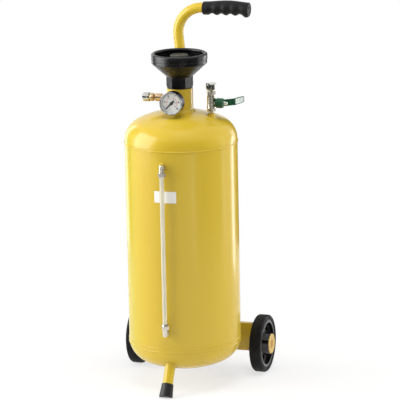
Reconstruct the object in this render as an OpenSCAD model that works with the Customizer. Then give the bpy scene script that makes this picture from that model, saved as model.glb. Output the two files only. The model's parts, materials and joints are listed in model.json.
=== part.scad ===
// Wheeled sprayer cart: a pressure tank on two wheels and a front leg.
// The cart stands on Z = 0, its front faces -Y, and the origin is the middle of its footprint.
// Every sub-part is drawn about the tank's axis and moved as one by at_tank().

/* [Tank] */
// Outside diameter of the tank
tank_d = 300; // [240:1:380]
// Thickness of the steel wall of the shell and the heads
tank_wall = 2.5; // [1.5:0.5:4]
// Height of the weld between the shell and the bottom head
lower_seam_z = 126.5; // [115:0.5:180]
// Length of the shell between its two welds
shell_h = 534.5; // [420:0.5:700]
// Crown radius of the dished heads, as a share of the tank's diameter
crown_share = 0.927; // [0.75:0.001:1.1]
// Knuckle radius of the dished heads
knuckle_r = 60; // [40:1:75]
// Straight flange of a head between its weld and its knuckle
flange_h = 4; // [2:0.5:20]
// Length of the joggled skirt of a head inside the shell
skirt_h = 12; // [6:1:25]
// Width of the bottom head's rim where it laps the shell's weld
band_h = 9; // [4:0.5:14]
// Height of the weld beads over the wall
bead_r = 1.2; // [0.8:0.1:2.5]

/* [Neck] */
// Outside diameter of the filler neck
neck_d = 69; // [64:0.5:80]
// Height of the plain neck over the top head's crown
neck_h = 60; // [50:1:90]
// Diameter of the threaded spigot that the funnel screws on
spigot_d = 53; // [46:0.5:56]
// Height of the threaded spigot
spigot_h = 28; // [18:1:40]
// Bore of the neck, which the filler plug closes
neck_bore_d = 40; // [30:0.5:42]

/* [Funnel] */
// Outside diameter of the funnel's rim
funnel_d = 149; // [130:1:180]
// Distance across the corners of the funnel's hexagon
funnel_hex_d = 71; // [68:0.5:82]
// Angle that the hexagon is screwed round to
funnel_hex_angle = 13; // [-30:1:30]
// Height of the hexagon
funnel_hex_h = 30; // [20:1:45]
// Height of the cone between the hexagon and the rim
funnel_cone_h = 33.5; // [20:0.5:60]
// Height of the upright rim
funnel_rim_h = 28; // [16:0.5:50]
// Wall of the moulded bowl
funnel_wall = 5; // [3:0.5:7]
// Thickness of the gasket under the hexagon
gasket_t = 1.5; // [1:0.5:4]

/* [Filler plug] */
// Diameter of the plug's round knob
knob_d = 50; // [46:1:52]
// Height of the knob
knob_h = 56.5; // [30:0.5:80]
// Number of finger flutes round the knob
knob_flutes = 12; // [6:1:16]
// Length of the plug's thread in the neck
plug_thread_h = 22; // [12:1:30]
// Thickness of the plug's sealing ring
oring_t = 3.5; // [2.5:0.5:5]

/* [Handle] */
// Outside diameter of the handle tube
handle_d = 28; // [20:1:30]
// Wall of the handle tube
handle_wall = 2; // [1.5:0.5:3]
// Height of the level run of the handle over the top head's crown
handle_rise = 246; // [200:1:320]
// Radius of the handle's bend, on the tube's centre line
handle_bend_r = 70; // [50:1:80]
// Distance of the bend's centre to the right of the tank's axis
handle_bend_x = 12.5; // [0:0.5:15]
// Lean of the handle's long run from upright
handle_lean = 5.2; // [0:0.1:12]
// Length of the handle's long run below the bend
handle_run = 442; // [380:1:560]
// Length of the level run past the bend
handle_reach = 138; // [122:1:150]
// Gap between the handle tube and the tank's back
handle_gap = 2; // [2:0.5:12]
// Distance of the upper cradle below the upper weld
cradle_drop = 38; // [25:1:80]
// Distance between the two cradles
cradle_pitch = 120; // [80:1:200]
// Height of a cradle along the tube
cradle_h = 30; // [20:1:50]
// Thickness of the pressed cradles and clamps
clamp_t = 4; // [3:0.5:6]
// Diameter of the clamp bolts
clamp_bolt_d = 8; // [6:1:8]

/* [Grip] */
// Length of the grip
grip_len = 128; // [115:1:140]
// Height of the grip over the tube's centre line
grip_top = 16.8; // [16:0.1:22]
// Depth of the grip under the tube's centre line, at the crests between the fingers
grip_bottom = 18.8; // [18:0.1:24]
// Width of the grip
grip_w = 38; // [34:1:42]
// Number of finger grooves
grip_fingers = 4; // [3:1:4]
// Distance between finger grooves
finger_pitch = 25.7; // [22:0.1:27]
// Depth of a finger groove
finger_depth = 4.7; // [2:0.1:5]
// Rise of the palm swell over the grip's top
palm_rise = 5.1; // [0:0.1:8]
// Depth of the guard at the grip's free end under the tube's centre line
grip_guard = 23; // [20:0.5:32]

/* [Wheels] */
// Outside diameter of the tyre
tyre_d = 156; // [140:1:180]
// Width of the tyre's tread
tyre_w = 32; // [30:1:44]
// Gap between the side of the tank and the inner face of a tyre
tyre_gap = 10.5; // [4:0.5:60]
// Distance of the axle line in front of the tank's back
axle_in = 16.6; // [0:0.1:30]
// Diameter of the stub axles
axle_d = 20; // [16:1:22]
// Diameter of the seat between rim and tyre
rim_seat_d = 122; // [112:1:130]
// Number of openings in the rim
rim_windows = 6; // [4:1:8]
// Diameter of the hub cap
cap_d = 54; // [48:1:60]
// Distance of the hub cap's face outside the tyre's middle
cap_face_x = 27; // [25:0.5:32]

/* [Axle bracket] */
// Thickness of the bracket's steel plate
bracket_t = 4; // [3:0.5:6]
// Height of the bracket's top edge above the axle line
bracket_up = 59; // [40:1:80]
// Depth of the bracket's bottom edge below the axle line
bracket_down = 18; // [12:1:30]
// Distance of the plate's front face in front of the axle line
bracket_front = 20; // [16:0.5:30]
// Distance between the two ribs of a bracket end, from face to face
rib_pitch = 30; // [20:1:36]

/* [Front leg] */
// Outside diameter of the leg tube
leg_d = 28; // [20:1:30]
// Wall of the leg tube
leg_wall = 2; // [1.5:0.5:3]
// Lean of the leg towards the front
leg_lean = 30; // [15:1:40]
// Distance of the foot cap's end in front of the tank's wall
foot_out = 21.2; // [10:0.1:80]
// Height of the middle of the foot cap's end
foot_z = 1; // [1:0.1:6]
// Diameter of the foot cap at its end
foot_d = 36.5; // [34:0.5:42]
// Length of the foot cap
foot_len = 36.5; // [25:0.5:50]
// Wall of the foot cap at its mouth
foot_wall = 1.6; // [1.5:0.1:4]

/* [Level indicator] */
// Height of the lower fitting above the lower weld
level_low = 46.5; // [35:0.5:80]
// Distance of the upper fitting below the upper weld
level_drop = 39; // [30:0.5:80]
// Outside diameter of the level tube
level_d = 12; // [8:0.5:14]
// Wall of the level tube
level_wall = 1; // [0.75:0.25:1.5]
// Distance of the level tube in front of the tank's wall
level_stand = 14; // [12:0.5:25]

/* [Outlet valve] */
// Distance of the valve from the tank's axis
valve_x = 86.5; // [75:0.5:100]
// Height of the stem's axis above the top head under the valve
valve_rise = 36.4; // [34:0.1:54]
// Diameter of the valve's ball
ball_d = 14; // [12:0.5:15]
// Bore of the valve
valve_bore_d = 8.4; // [6:0.2:9]
// Diameter of the valve's stem
stem_d = 6; // [5:0.5:7]
// Length of the stem from the valve's axis to its end
stem_len = 42; // [40:1:55]
// Width of the lever across the flats of its hub
lever_hub_af = 25; // [22:0.5:30]
// Width of the lever's arm
lever_w = 17.5; // [14:0.5:20]
// Thickness of the lever's arm
lever_t = 4.5; // [3.5:0.5:6]
// Reach of the lever's arm from the stem's axis
lever_reach = 64; // [60:1:90]
// Diameter of the pick-up tube inside the tank
dip_d = 10; // [8:0.5:11]
// Gap between the pick-up tube's end and the bottom head
dip_gap = 7; // [4:1:20]
// Bore of the outlet port
port_d = 8.6; // [7:0.2:9]

/* [Air inlet] */
// Height of the air inlet and the pressure gauge above the crown of the top head
side_rise = 31; // [30:0.5:36]
// Diameter of the check valve's body
check_d = 20.6; // [18:0.2:24]
// Diameter of the coupling's steel sleeve
sleeve_d = 24.6; // [22:0.2:28]
// Bore of the coupling, which takes an air plug
plug_socket_d = 12; // [10:0.2:13]
// Travel of the coupling's sleeve
sleeve_travel = 2.4; // [1.5:0.1:2.8]

/* [Pressure gauge] */
// Diameter of the gauge's case
gauge_d = 60.6; // [56:0.2:66]
// Depth of the gauge's case
gauge_depth = 28.5; // [26:0.5:32]
// Angle between the pointer's rest and the straight down, seen from the front
pointer_rest = 45; // [30:1:50]

/* [Fits] */
// Running clearance on the radius of a shaft in its bore
running = 0.05; // [0.02:0.01:0.09]
// Gap between faces that move past each other
face_gap = 0.3; // [0.2:0.05:0.5]
// Pitch of the filler plug's thread
plug_pitch = 4; // [3:0.5:6]

/* [Hidden] */
$fn = 72;

// Tank
tank_r = tank_d / 2;
crown_r = tank_d * crown_share;
crown_below = sqrt(pow(crown_r - knuckle_r, 2) - pow(tank_r - knuckle_r, 2));
head_rise = crown_r - crown_below;
knuckle_angle = atan2(crown_below, tank_r - knuckle_r);
upper_seam_z = lower_seam_z + shell_h;
crown_z = upper_seam_z + flange_h + head_rise;
floor_crown_z = lower_seam_z - flange_h - head_rise;
crown_centre_z = crown_z - crown_r;

// Neck, funnel and filler plug
neck_top_z = crown_z + neck_h;
spigot_top_z = neck_top_z + spigot_h;
funnel_z = neck_top_z + gasket_t;
funnel_cone_z = funnel_z + funnel_hex_h;
funnel_rim_z = funnel_cone_z + funnel_cone_h;
funnel_top_z = funnel_rim_z + funnel_rim_h;
funnel_throat_r = knob_d / 2 + 2.5;
oring_r = neck_bore_d / 2 + oring_t / 2;
knob_z = spigot_top_z + oring_t;

// Wheels
tyre_r = tyre_d / 2;
wheel_x = tank_r + tyre_gap + tyre_w / 2;
axle_y = tank_r - axle_in;
rim_seat_w = 25;
hub_in = 22;
hub_out = cap_face_x - 7.5;
cap_seat_x = cap_face_x - 3;
washer_t = 1.5;
ring_t = 1.5;
bush_r = axle_d / 2 + 3.5;
stub_out = hub_out + washer_t + ring_t + 1.8;

// Axle bracket
ear_x = wheel_x - hub_in - washer_t - face_gap;
bracket_y = axle_y - bracket_front;
bracket_top_z = tyre_r + bracket_up;
bracket_bottom_z = tyre_r - bracket_down;

// Front leg
foot_r = foot_d / 2;
foot_y = tank_r + foot_out;
foot_front = foot_y + foot_r * cos(leg_lean);

// The tank's axis stands off the middle of the footprint by this much
tank_y = (foot_front - axle_y - tyre_r) / 2;

// Handle
handle_y = tank_r + handle_gap + handle_d / 2;
handle_z = crown_z + handle_rise;
bend_start_z = handle_z - handle_bend_r - handle_bend_r * sin(handle_lean);
bend_start_x = handle_bend_x - handle_bend_r * cos(handle_lean);
cradle_zs = [upper_seam_z - cradle_drop, upper_seam_z - cradle_drop - cradle_pitch];
grip_x = 15.5;
clamp_nut_af = 1.625 * clamp_bolt_d;
clamp_nut_r = clamp_nut_af / 2 / cos(30);
clamp_pitch = handle_d + 2 * clamp_t + 2 * clamp_nut_r - 1;
cradle_leg_x = clamp_pitch / 2 + clamp_nut_r + 0.7;

// Level indicator
level_y = tank_r + level_stand;
level_zs = [lower_seam_z + level_low, upper_seam_z - level_drop];
level_body_r = level_d / 2 + 1;
level_nut_l = 14;
level_neck = 11;

// Outlet valve
valve_dome_z = crown_centre_z + sqrt(crown_r * crown_r - valve_x * valve_x);
stem_z = valve_dome_z + valve_rise;
socket_top_z = stem_z - 27.5;
valve_thread_r = 6.5;
valve_base_z = stem_z - 22;
chamber_r = ball_d / 2 + 1.2;
valve_joint_z = stem_z + 15;
valve_top_z = stem_z + 31.5;
elbow_z = valve_top_z + 4;
elbow_h = 17.5;
boss_out = 15;
hub_x = 13;
hub_l = 21;

// Side fittings
side_z = crown_z + side_rise;
neck_r = neck_d / 2;
check_x = neck_r + 15.5;
check_l = 19;
coupling_x = check_x + check_l + 3.5;
coupling_l = 30;
poppet_r = 3.2;
gauge_back = neck_r + 17;
gauge_front = gauge_back + gauge_depth;
gauge_r = gauge_d / 2;
dial_y = gauge_back + gauge_depth - 12.5;
pointer_y = dial_y + 3.5;
bezel_lip = 2.5;

paint = "gold";
black = "#26282a";
steel = "#b9bcbe";
nickel = "#c9cac6";
brass = "#c8a560";

module at_tank() {
    translate([0, tank_y, 0]) children();
}

// A ring or bush about Z
module ring(outer_r, inner_r, h) {
    difference() {
        cylinder(r = outer_r, h = h);
        translate([0, 0, -1]) cylinder(r = inner_r, h = h + 2);
    }
}

// A hexagon bar about Z with chamfered corners at both ends
module hexagon(across_flats, h, bevel = 0.8) {
    corner_r = across_flats / 2 / cos(30);
    intersection() {
        cylinder(r = corner_r, h = h, $fn = 6);
        union() {
            cylinder(r1 = corner_r - bevel, r2 = corner_r + h * 0.58, h = h / 2);
            translate([0, 0, h / 2]) cylinder(r1 = corner_r + h * 0.58, r2 = corner_r - bevel, h = h / 2);
        }
    }
}

// Places a fitting drawn about +Z on the front of the tank, pointing to the front
module facing_front(y, z) {
    translate([0, -y, z]) rotate([90, 0, 0]) children();
}

// The same to the left, and to the right
module facing_left(x, z) {
    translate([-x, 0, z]) rotate([0, -90, 0]) children();
}

module facing_right(x, z) {
    translate([x, 0, z]) rotate([0, 90, 0]) children();
}

// ---- Tank ----

// A flat sector of a disc between two angles
module sector(r, from, to) {
    far = 2 * r;
    intersection() {
        circle(r = r);
        polygon([[0, 0], [far * cos(from), far * sin(from)], [far * cos(to), far * sin(to)]]);
    }
}

module ring_sector(r, t, from, to) {
    difference() {
        sector(r, from, to);
        circle(r = r - t);
    }
}

// Half section of a dished head's wall, from its weld at Y = 0 upwards
module head_wall_section() {
    translate([0, flange_h - crown_below]) ring_sector(crown_r, tank_wall, knuckle_angle, 90);
    translate([tank_r - knuckle_r, flange_h]) ring_sector(knuckle_r, tank_wall, 0, knuckle_angle);
    translate([tank_r - tank_wall, 0]) square([tank_wall, flange_h]);
    translate([tank_r - 2 * tank_wall, -skirt_h]) square([tank_wall, skirt_h + 1]);
    translate([tank_r, 0]) circle(r = bead_r, $fn = 24);
}

// Half section of the space that a whole head takes up
module head_solid_section() {
    intersection() {
        translate([0, flange_h - crown_below]) sector(crown_r, knuckle_angle, 90);
        square([tank_r, flange_h + head_rise + 1]);
    }
    translate([tank_r - knuckle_r, flange_h]) sector(knuckle_r, 0, knuckle_angle);
    polygon([[0, 0], [tank_r, 0], [tank_r, flange_h], [tank_r - knuckle_r, flange_h]]);
}

// Everything inside the tank's outer surface: what is welded on is cut to fit it
module tank_envelope() {
    translate([0, 0, lower_seam_z]) cylinder(r = tank_r, h = shell_h);
    translate([0, 0, upper_seam_z]) rotate_extrude() head_solid_section();
    translate([0, 0, upper_seam_z]) rotate_extrude() translate([tank_r, 0])
        circle(r = bead_r, $fn = 24);
    translate([0, 0, lower_seam_z]) mirror([0, 0, 1]) rotate_extrude() {
        head_solid_section();
        translate([tank_r, 0]) circle(r = bead_r, $fn = 24);
        lap_section();
    }
}

module tank_shell() {
    color(paint) at_tank() difference() {
        translate([0, 0, lower_seam_z]) ring(tank_r, tank_r - tank_wall, shell_h);
        for (z = level_zs) facing_front(tank_r - 2 * tank_wall, z)
            cylinder(r = level_d / 2 - level_wall, h = 3 * tank_wall);
        translate([0, 0, upper_seam_z]) rotate_extrude() translate([tank_r, 0])
            circle(r = bead_r, $fn = 24);
        translate([0, 0, lower_seam_z]) mirror([0, 0, 1]) rotate_extrude() {
            translate([tank_r, 0]) circle(r = bead_r, $fn = 24);
            lap_section();
        }
    }
}

module top_head() {
    color(paint) at_tank() difference() {
        translate([0, 0, upper_seam_z]) rotate_extrude() head_wall_section();
        translate([0, 0, crown_z - 40]) cylinder(r = neck_bore_d / 2 + 4, h = 60);
        translate([valve_x, 0, crown_z - 60]) cylinder(r = dip_d / 2, h = 80);
    }
}

// The rim of the bottom head laps the weld, a little proud of the wall, with a ridge at each edge
module lap_section() {
    proud = 0.7;
    polygon([
        [tank_r - 1, -0.5], [tank_r + proud, -0.5], [tank_r + proud, band_h - 1],
        [tank_r + proud / 2, band_h + 0.5], [tank_r - 1.5, band_h + 0.5]
    ]);
    translate([tank_r - 0.1, band_h]) circle(r = bead_r, $fn = 24);
}

module bottom_head() {
    color(paint) at_tank()
        translate([0, 0, lower_seam_z]) mirror([0, 0, 1]) rotate_extrude() {
            head_wall_section();
            lap_section();
        }
}

// ---- Neck, funnel and filler plug ----

module filler_neck() {
    fillet = 6;
    color(paint) at_tank() difference() {
        union() {
            translate([0, 0, crown_z - 12]) cylinder(r = neck_r, h = neck_h + 12);
            translate([0, 0, crown_z - 5]) cylinder(r1 = neck_r + fillet, r2 = neck_r, h = fillet + 3);
            translate([0, 0, neck_top_z]) cylinder(r = spigot_d / 2, h = spigot_h);
        }
        translate([0, 0, crown_z - 20]) cylinder(r = neck_bore_d / 2, h = neck_h + spigot_h + 30);
        translate([0, 0, crown_z - 20]) cylinder(r = neck_bore_d / 2 + 7, h = neck_h + 10);
        translate([0, 0, crown_centre_z]) sphere(r = crown_r);
        facing_front(0, side_z) cylinder(r = 5, h = neck_d);
        facing_left(0, side_z) cylinder(r = 5, h = neck_d);
    }
}

// A boss welded on the side of the neck, about +Z from the neck's axis
module neck_boss(boss_r, length) {
    difference() {
        translate([0, 0, neck_r - 6]) cylinder(r = boss_r, h = length + 6);
        translate([0, 0, neck_r - 7]) cylinder(r = 5, h = length + 8);
        rotate([0, 90, 0]) cylinder(r = neck_r, h = 4 * boss_r, center = true);
    }
}

module gauge_socket() {
    color(paint) at_tank() facing_front(0, side_z) rotate([0, 0, 90]) neck_boss(9.5, 3.5);
}

module air_socket() {
    color(paint) at_tank() facing_left(0, side_z) neck_boss(10.5, 5);
}

module funnel_gasket() {
    color(black) at_tank() translate([0, 0, neck_top_z])
        ring(neck_r - 4, spigot_d / 2, gasket_t);
}

// Half section of the funnel's bowl above the hexagon
module bowl_section() {
    top_r = funnel_d / 2;
    base_r = funnel_hex_d / 2;
    lip_r = 5;
    step = 1;
    z_rim = funnel_hex_h + funnel_cone_h;
    z_top = z_rim + funnel_rim_h;
    difference() {
        union() {
            polygon([
                [0, funnel_hex_h - 1], [base_r - 0.5, funnel_hex_h - 1], [base_r - 0.5, funnel_hex_h],
                [top_r - step - 1.5, z_rim], [top_r - step, z_rim + 2],
                [top_r - step, z_top - 18], [top_r, z_top - 17],
                [top_r, z_top - lip_r], [0, z_top - lip_r]
            ]);
            translate([top_r - lip_r, z_top - lip_r]) circle(r = lip_r);
        }
        polygon([
            [-1, funnel_hex_h - 3], [funnel_throat_r, funnel_hex_h - 3],
            [funnel_throat_r, funnel_hex_h + 3],
            [top_r - step - funnel_wall - 2, z_rim + 2], [top_r - step - funnel_wall, z_rim + 5],
            [top_r - step - funnel_wall, z_top - 2 * lip_r], [top_r - 2 * lip_r, z_top - lip_r],
            [top_r - 2 * lip_r, z_top + 1], [-1, z_top + 1]
        ]);
    }
}

module funnel() {
    hex_r = funnel_hex_d / 2;
    color(black) at_tank() translate([0, 0, funnel_z]) {
        rotate_extrude() bowl_section();
        difference() {
            intersection() {
                rotate([0, 0, funnel_hex_angle]) cylinder(r = hex_r, h = funnel_hex_h, $fn = 6);
                cylinder(r1 = hex_r - 2, r2 = hex_r + 11, h = funnel_hex_h);
            }
            translate([0, 0, -1]) cylinder(r = spigot_d / 2, h = funnel_hex_h + 2);
            translate([0, 0, spigot_h - gasket_t]) cylinder(r = funnel_throat_r, h = funnel_hex_h);
        }
    }
}

module plug_oring() {
    color(black) at_tank() translate([0, 0, spigot_top_z + oring_t / 2])
        rotate_extrude() translate([oring_r, 0]) circle(r = oring_t / 2, $fn = 24);
}

module filler_plug() {
    flute_r = 3;
    neck_waist = 5;
    thread_r = neck_bore_d / 2 - running;
    color("#3c3f38") at_tank() {
        difference() {
            union() {
                translate([0, 0, knob_z + face_gap]) cylinder(r = knob_d / 2 - 2, h = 4);
                translate([0, 0, knob_z + face_gap + 3]) cylinder(r = knob_d / 2, h = knob_h - 6);
                translate([0, 0, knob_z + knob_h - 3])
                    cylinder(r1 = knob_d / 2, r2 = knob_d / 2 - 2.5, h = 3);
            }
            for (i = [0 : knob_flutes - 1])
                rotate([0, 0, 360 / knob_flutes * i])
                    translate([knob_d / 2 + 1, 0, knob_z + neck_waist])
                        cylinder(r = flute_r, h = knob_h - neck_waist - 6);
            translate([0, 0, knob_z + knob_h - 1]) cylinder(r = knob_d / 2 - 7, h = 2);
        }
        translate([0, 0, spigot_top_z - plug_thread_h]) difference() {
            cylinder(r = thread_r, h = plug_thread_h + oring_t + 2);
            translate([0, 0, -1]) cylinder(r = thread_r - 4, h = plug_thread_h - 4);
            for (z = [1 : plug_pitch : plug_thread_h - 2])
                translate([0, 0, z]) ring(thread_r + 1, thread_r - 1.2, plug_pitch * 0.35);
        }
    }
}

// ---- Handle ----

// The handle's route, filled to a radius: long run, bend and level run
module handle_route(r, past = 0) {
    translate([bend_start_x, handle_y, bend_start_z]) rotate([0, -handle_lean, 0])
        translate([0, 0, -handle_run - past]) cylinder(r = r - 0.02, h = handle_run + past + 0.5);
    translate([handle_bend_x, handle_y, handle_z - handle_bend_r]) rotate([90, 0, 0])
        rotate([0, 0, 90]) rotate_extrude(angle = 90 + handle_lean)
            translate([handle_bend_r, 0]) circle(r = r);
    translate([handle_bend_x, handle_y, handle_z]) rotate([0, 90, 0])
        cylinder(r = r, h = handle_reach - handle_bend_x + past);
}

module handle_tube() {
    color(paint) at_tank() difference() {
        handle_route(handle_d / 2);
        handle_route(handle_d / 2 - handle_wall, 1);
    }
}

// Places what is drawn about the handle tube at a height on its long run
module on_handle(z) {
    drop = (bend_start_z - z) / cos(handle_lean);
    translate([bend_start_x, handle_y, bend_start_z]) rotate([0, -handle_lean, 0])
        translate([0, 0, -drop - cradle_h / 2]) children();
}

module clamp_bolt_holes(from, length) {
    for (x = [-clamp_pitch / 2, clamp_pitch / 2])
        translate([x, from, cradle_h / 2]) rotate([-90, 0, 0]) cylinder(r = clamp_bolt_d / 2, h = length);
}

// Section of a pressed half clamp: a half round with two ears, on the +Y side of the tube
module half_clamp_section(gap) {
    ear_w = 2 * (cradle_leg_x + clamp_t);
    difference() {
        union() {
            circle(r = handle_d / 2 + clamp_t);
            translate([-ear_w / 2, 0]) square([ear_w, clamp_t + gap]);
        }
        circle(r = handle_d / 2);
        translate([-ear_w, -2 * handle_d]) square([2 * ear_w, 2 * handle_d + gap]);
    }
}

module handle_clamps() {
    color(steel) at_tank() for (z = cradle_zs) on_handle(z) difference() {
        linear_extrude(cradle_h) half_clamp_section(1);
        clamp_bolt_holes(-1, 3 * clamp_t);
    }
}

module handle_cradles() {
    leg_l = handle_d + 10;
    color(paint) at_tank() difference() {
        for (z = cradle_zs) on_handle(z) difference() {
            union() {
                linear_extrude(cradle_h) mirror([0, 1]) half_clamp_section(1);
                for (side = [-1, 1])
                    translate([side > 0 ? cradle_leg_x : -cradle_leg_x - clamp_t, -leg_l, 0])
                        cube([clamp_t, leg_l - 1, cradle_h]);
            }
            clamp_bolt_holes(-3 * clamp_t, 3 * clamp_t);
        }
        tank_envelope();
    }
}

module clamp_bolts() {
    head_l = 5.3;
    grip_l = 2 * clamp_t + 2;
    color(steel) at_tank() for (z = cradle_zs, x = [-clamp_pitch / 2, clamp_pitch / 2])
        on_handle(z) translate([x, 1 + clamp_t, cradle_h / 2]) rotate([90, 0, 0]) {
            cylinder(r = clamp_bolt_d / 2, h = grip_l + 9);
            translate([0, 0, -head_l]) hexagon(clamp_nut_af, head_l);
        }
}

module clamp_nuts() {
    nut_l = 6.5;
    color(steel) at_tank() for (z = cradle_zs, x = [-clamp_pitch / 2, clamp_pitch / 2])
        on_handle(z) translate([x, -1 - clamp_t, cradle_h / 2]) rotate([90, 0, 0]) difference() {
            hexagon(clamp_nut_af, nut_l);
            translate([0, 0, -1]) cylinder(r = clamp_bolt_d / 2, h = nut_l + 2);
        }
}

// Outline of the grip at a distance along it: how far it reaches up, down and sideways
finger_start = 25.2;
function finger_wave(x) =
    let (u = (x - finger_start) / finger_pitch)
    u < -0.5 || u > grip_fingers - 0.5 ? 0 : (1 + cos(360 * u)) / 2;
function end_round(x, depth) =
    let (d = min(x, grip_len - x))
    d >= depth ? 0 : depth - sqrt(max(0, depth * depth - pow(depth - d, 2)));
function swell(x, middle, before, after) =
    let (u = (x - middle) / (x < middle ? before : after))
    abs(u) > 1 ? 0 : (1 + cos(180 * u)) / 2;
function guard_rise(x) = swell(x, grip_len - 9.5, 8.5, 14);
function grip_up(x) = grip_top + palm_rise * swell(x, 0.55 * grip_len, 75, 75) - end_round(x, 2);
function grip_down(x) = grip_bottom - finger_depth * finger_wave(x)
    + (grip_guard - grip_bottom) * guard_rise(x) - end_round(x, 2);
function grip_half(x) = grip_w / 2 - 0.35 * finger_depth * finger_wave(x)
    + 0.5 * guard_rise(x) - end_round(x, 2);

// One cross-section of the grip, a rounded upright oval, about the tube's axis
function grip_ring(x, sides) = [
    for (i = [0 : sides - 1])
        let (a = 360 * i / sides, up = sin(a) > 0)
        [x, grip_half(x) * cos(a), (up ? grip_up(x) : grip_down(x)) * sin(a)]
];

module hand_grip() {
    sides = 28;
    ends = [0, 0.4, 1.1, 2];
    inner = [for (x = [6 : 3.0625 : grip_len - 6]) x];
    xs = concat(ends, inner, [for (i = [3 : -1 : 0]) grip_len - ends[i]]);
    last = len(xs) - 1;
    points = [for (x = xs) each grip_ring(x, sides)];
    skin = [
        for (k = [0 : last - 1], i = [0 : sides - 1])
            let (j = (i + 1) % sides, a = k * sides, b = a + sides)
            each [[a + i, b + i, b + j], [a + i, b + j, a + j]]
    ];
    caps = [[for (i = [0 : sides - 1]) i], [for (i = [sides - 1 : -1 : 0]) last * sides + i]];
    color(black) at_tank() translate([grip_x, handle_y, handle_z]) difference() {
        polyhedron(points, concat(skin, caps));
        translate([-1, 0, 0]) rotate([0, 90, 0])
            cylinder(r = handle_d / 2, h = handle_reach - grip_x + 1);
    }
}

// ---- Wheels: drawn about X, with the tyre's middle at X = 0 and the outside towards +X ----

// Turns a half section, drawn as [distance along X, radius], about the X axis
module turn_about_x() {
    rotate([0, 90, 0]) rotate_extrude() rotate([0, 0, 90]) mirror([0, 1]) children();
}

module wheel_place(side) {
    translate([side * wheel_x, axle_y, tyre_r]) mirror([side < 0 ? 1 : 0, 0, 0]) children();
}

module tyre_section() {
    half = tyre_w / 2;
    round_r = 6;
    bead_w = rim_seat_w / 2;
    difference() {
        union() {
            translate([-half, rim_seat_d / 2 + 4]) square([tyre_w, tyre_r - round_r - rim_seat_d / 2 - 4]);
            translate([-half + round_r, rim_seat_d / 2 + 4])
                square([tyre_w - 2 * round_r, tyre_r - rim_seat_d / 2 - 4]);
            for (x = [-half + round_r, half - round_r])
                translate([x, tyre_r - round_r]) circle(r = round_r);
            translate([-bead_w, rim_seat_d / 2]) square([2 * bead_w, 5]);
        }
        for (x = [-tyre_w / 4, 0, tyre_w / 4]) translate([x - 0.9, tyre_r - 1.6]) square([1.8, 3]);
        translate([half - 1, rim_seat_d / 2 + 6.5]) square([2, 1.2]);
    }
}

module tyre() {
    color(black) turn_about_x() tyre_section();
}

// One opening between two spokes, from its inner to its outer radius along -X
module rim_window(inner, outer) {
    spoke_w = 9;
    share = 180 / rim_windows;
    difference() {
        intersection() {
            circle(r = outer);
            rotate([0, 0, 180]) polygon([
                [spoke_w / 2 / sin(share), 0], [2 * outer, 2 * outer * tan(share) - spoke_w / 2 / cos(share)],
                [2 * outer, spoke_w / 2 / cos(share) - 2 * outer * tan(share)]
            ]);
        }
        circle(r = inner);
    }
}

module rim() {
    seat_r = rim_seat_d / 2;
    lip_r = seat_r + 3.5;
    well_r = seat_r - 4;
    seat_w = rim_seat_w / 2;
    flange_w = seat_w + 2.2;
    boss_r = cap_d / 2 + 0.5;
    web_x = -4;
    color(black) difference() {
        turn_about_x() polygon([
            [-flange_w, well_r], [-flange_w, lip_r], [-seat_w, lip_r], [-seat_w, seat_r],
            [seat_w, seat_r], [seat_w, lip_r], [flange_w, lip_r], [flange_w, well_r],
            [web_x + 4, well_r - 1], [web_x + 12, boss_r + 5], [cap_seat_x - 1, boss_r],
            [cap_seat_x, boss_r - 1], [cap_seat_x, cap_d / 2 - 3.5],
            [hub_out - 1, cap_d / 2 - 3.5], [hub_out - 1, bush_r],
            [0.5 - hub_in, bush_r], [0.5 - hub_in, bush_r + 4], [web_x, bush_r + 6],
            [web_x, well_r - 1], [-flange_w, well_r]
        ]);
        for (i = [0 : rim_windows - 1])
            rotate([360 / rim_windows * (i + 0.5), 0, 0]) translate([-12, 0, 0])
                rotate([0, 90, 0]) linear_extrude(40) rim_window(boss_r + 5.5, well_r - 3);
    }
}

module bush() {
    color("#8d8f8a") translate([-hub_in, 0, 0]) rotate([0, 90, 0])
        ring(bush_r, axle_d / 2 + running, hub_in + hub_out);
}

module cap() {
    skirt_r = cap_d / 2 - 3.5;
    color(paint) turn_about_x() polygon([
        [stub_out + 0.6, 0], [cap_face_x - 0.9, 0], [cap_face_x - 0.9, cap_d / 2 - 6],
        [cap_face_x, cap_d / 2 - 5], [cap_face_x, cap_d / 2 - 1], [cap_face_x - 1, cap_d / 2],
        [cap_seat_x, cap_d / 2], [cap_seat_x, skirt_r], [hub_out - 1, skirt_r],
        [hub_out - 1, skirt_r - 2.5], [stub_out + 0.6, skirt_r - 2.5]
    ]);
}

module right_tyre() { at_tank() wheel_place(1) tyre(); }
module right_rim() { at_tank() wheel_place(1) rim(); }
module right_bush() { at_tank() wheel_place(1) bush(); }
module right_cap() { at_tank() wheel_place(1) cap(); }
module left_tyre() { at_tank() wheel_place(-1) tyre(); }
module left_rim() { at_tank() wheel_place(-1) rim(); }
module left_bush() { at_tank() wheel_place(-1) bush(); }
module left_cap() { at_tank() wheel_place(-1) cap(); }

module axle_stubs() {
    inner_x = wheel_x - ear_x + rib_pitch + bracket_t + 4;
    color(steel) at_tank() for (side = [-1, 1]) wheel_place(side) difference() {
        translate([-inner_x, 0, 0]) rotate([0, 90, 0]) cylinder(r = axle_d / 2, h = inner_x + stub_out);
        translate([hub_out + washer_t + face_gap, 0, 0]) rotate([0, 90, 0])
            ring(axle_d, axle_d / 2 - 1.2, ring_t);
    }
}

module axle_washers() {
    color(steel) at_tank() for (side = [-1, 1]) wheel_place(side)
        for (x = [-hub_in - washer_t - face_gap, hub_out + face_gap])
            translate([x, 0, 0]) rotate([0, 90, 0]) ring(axle_d / 2 + 6, axle_d / 2, washer_t);
}

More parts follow.
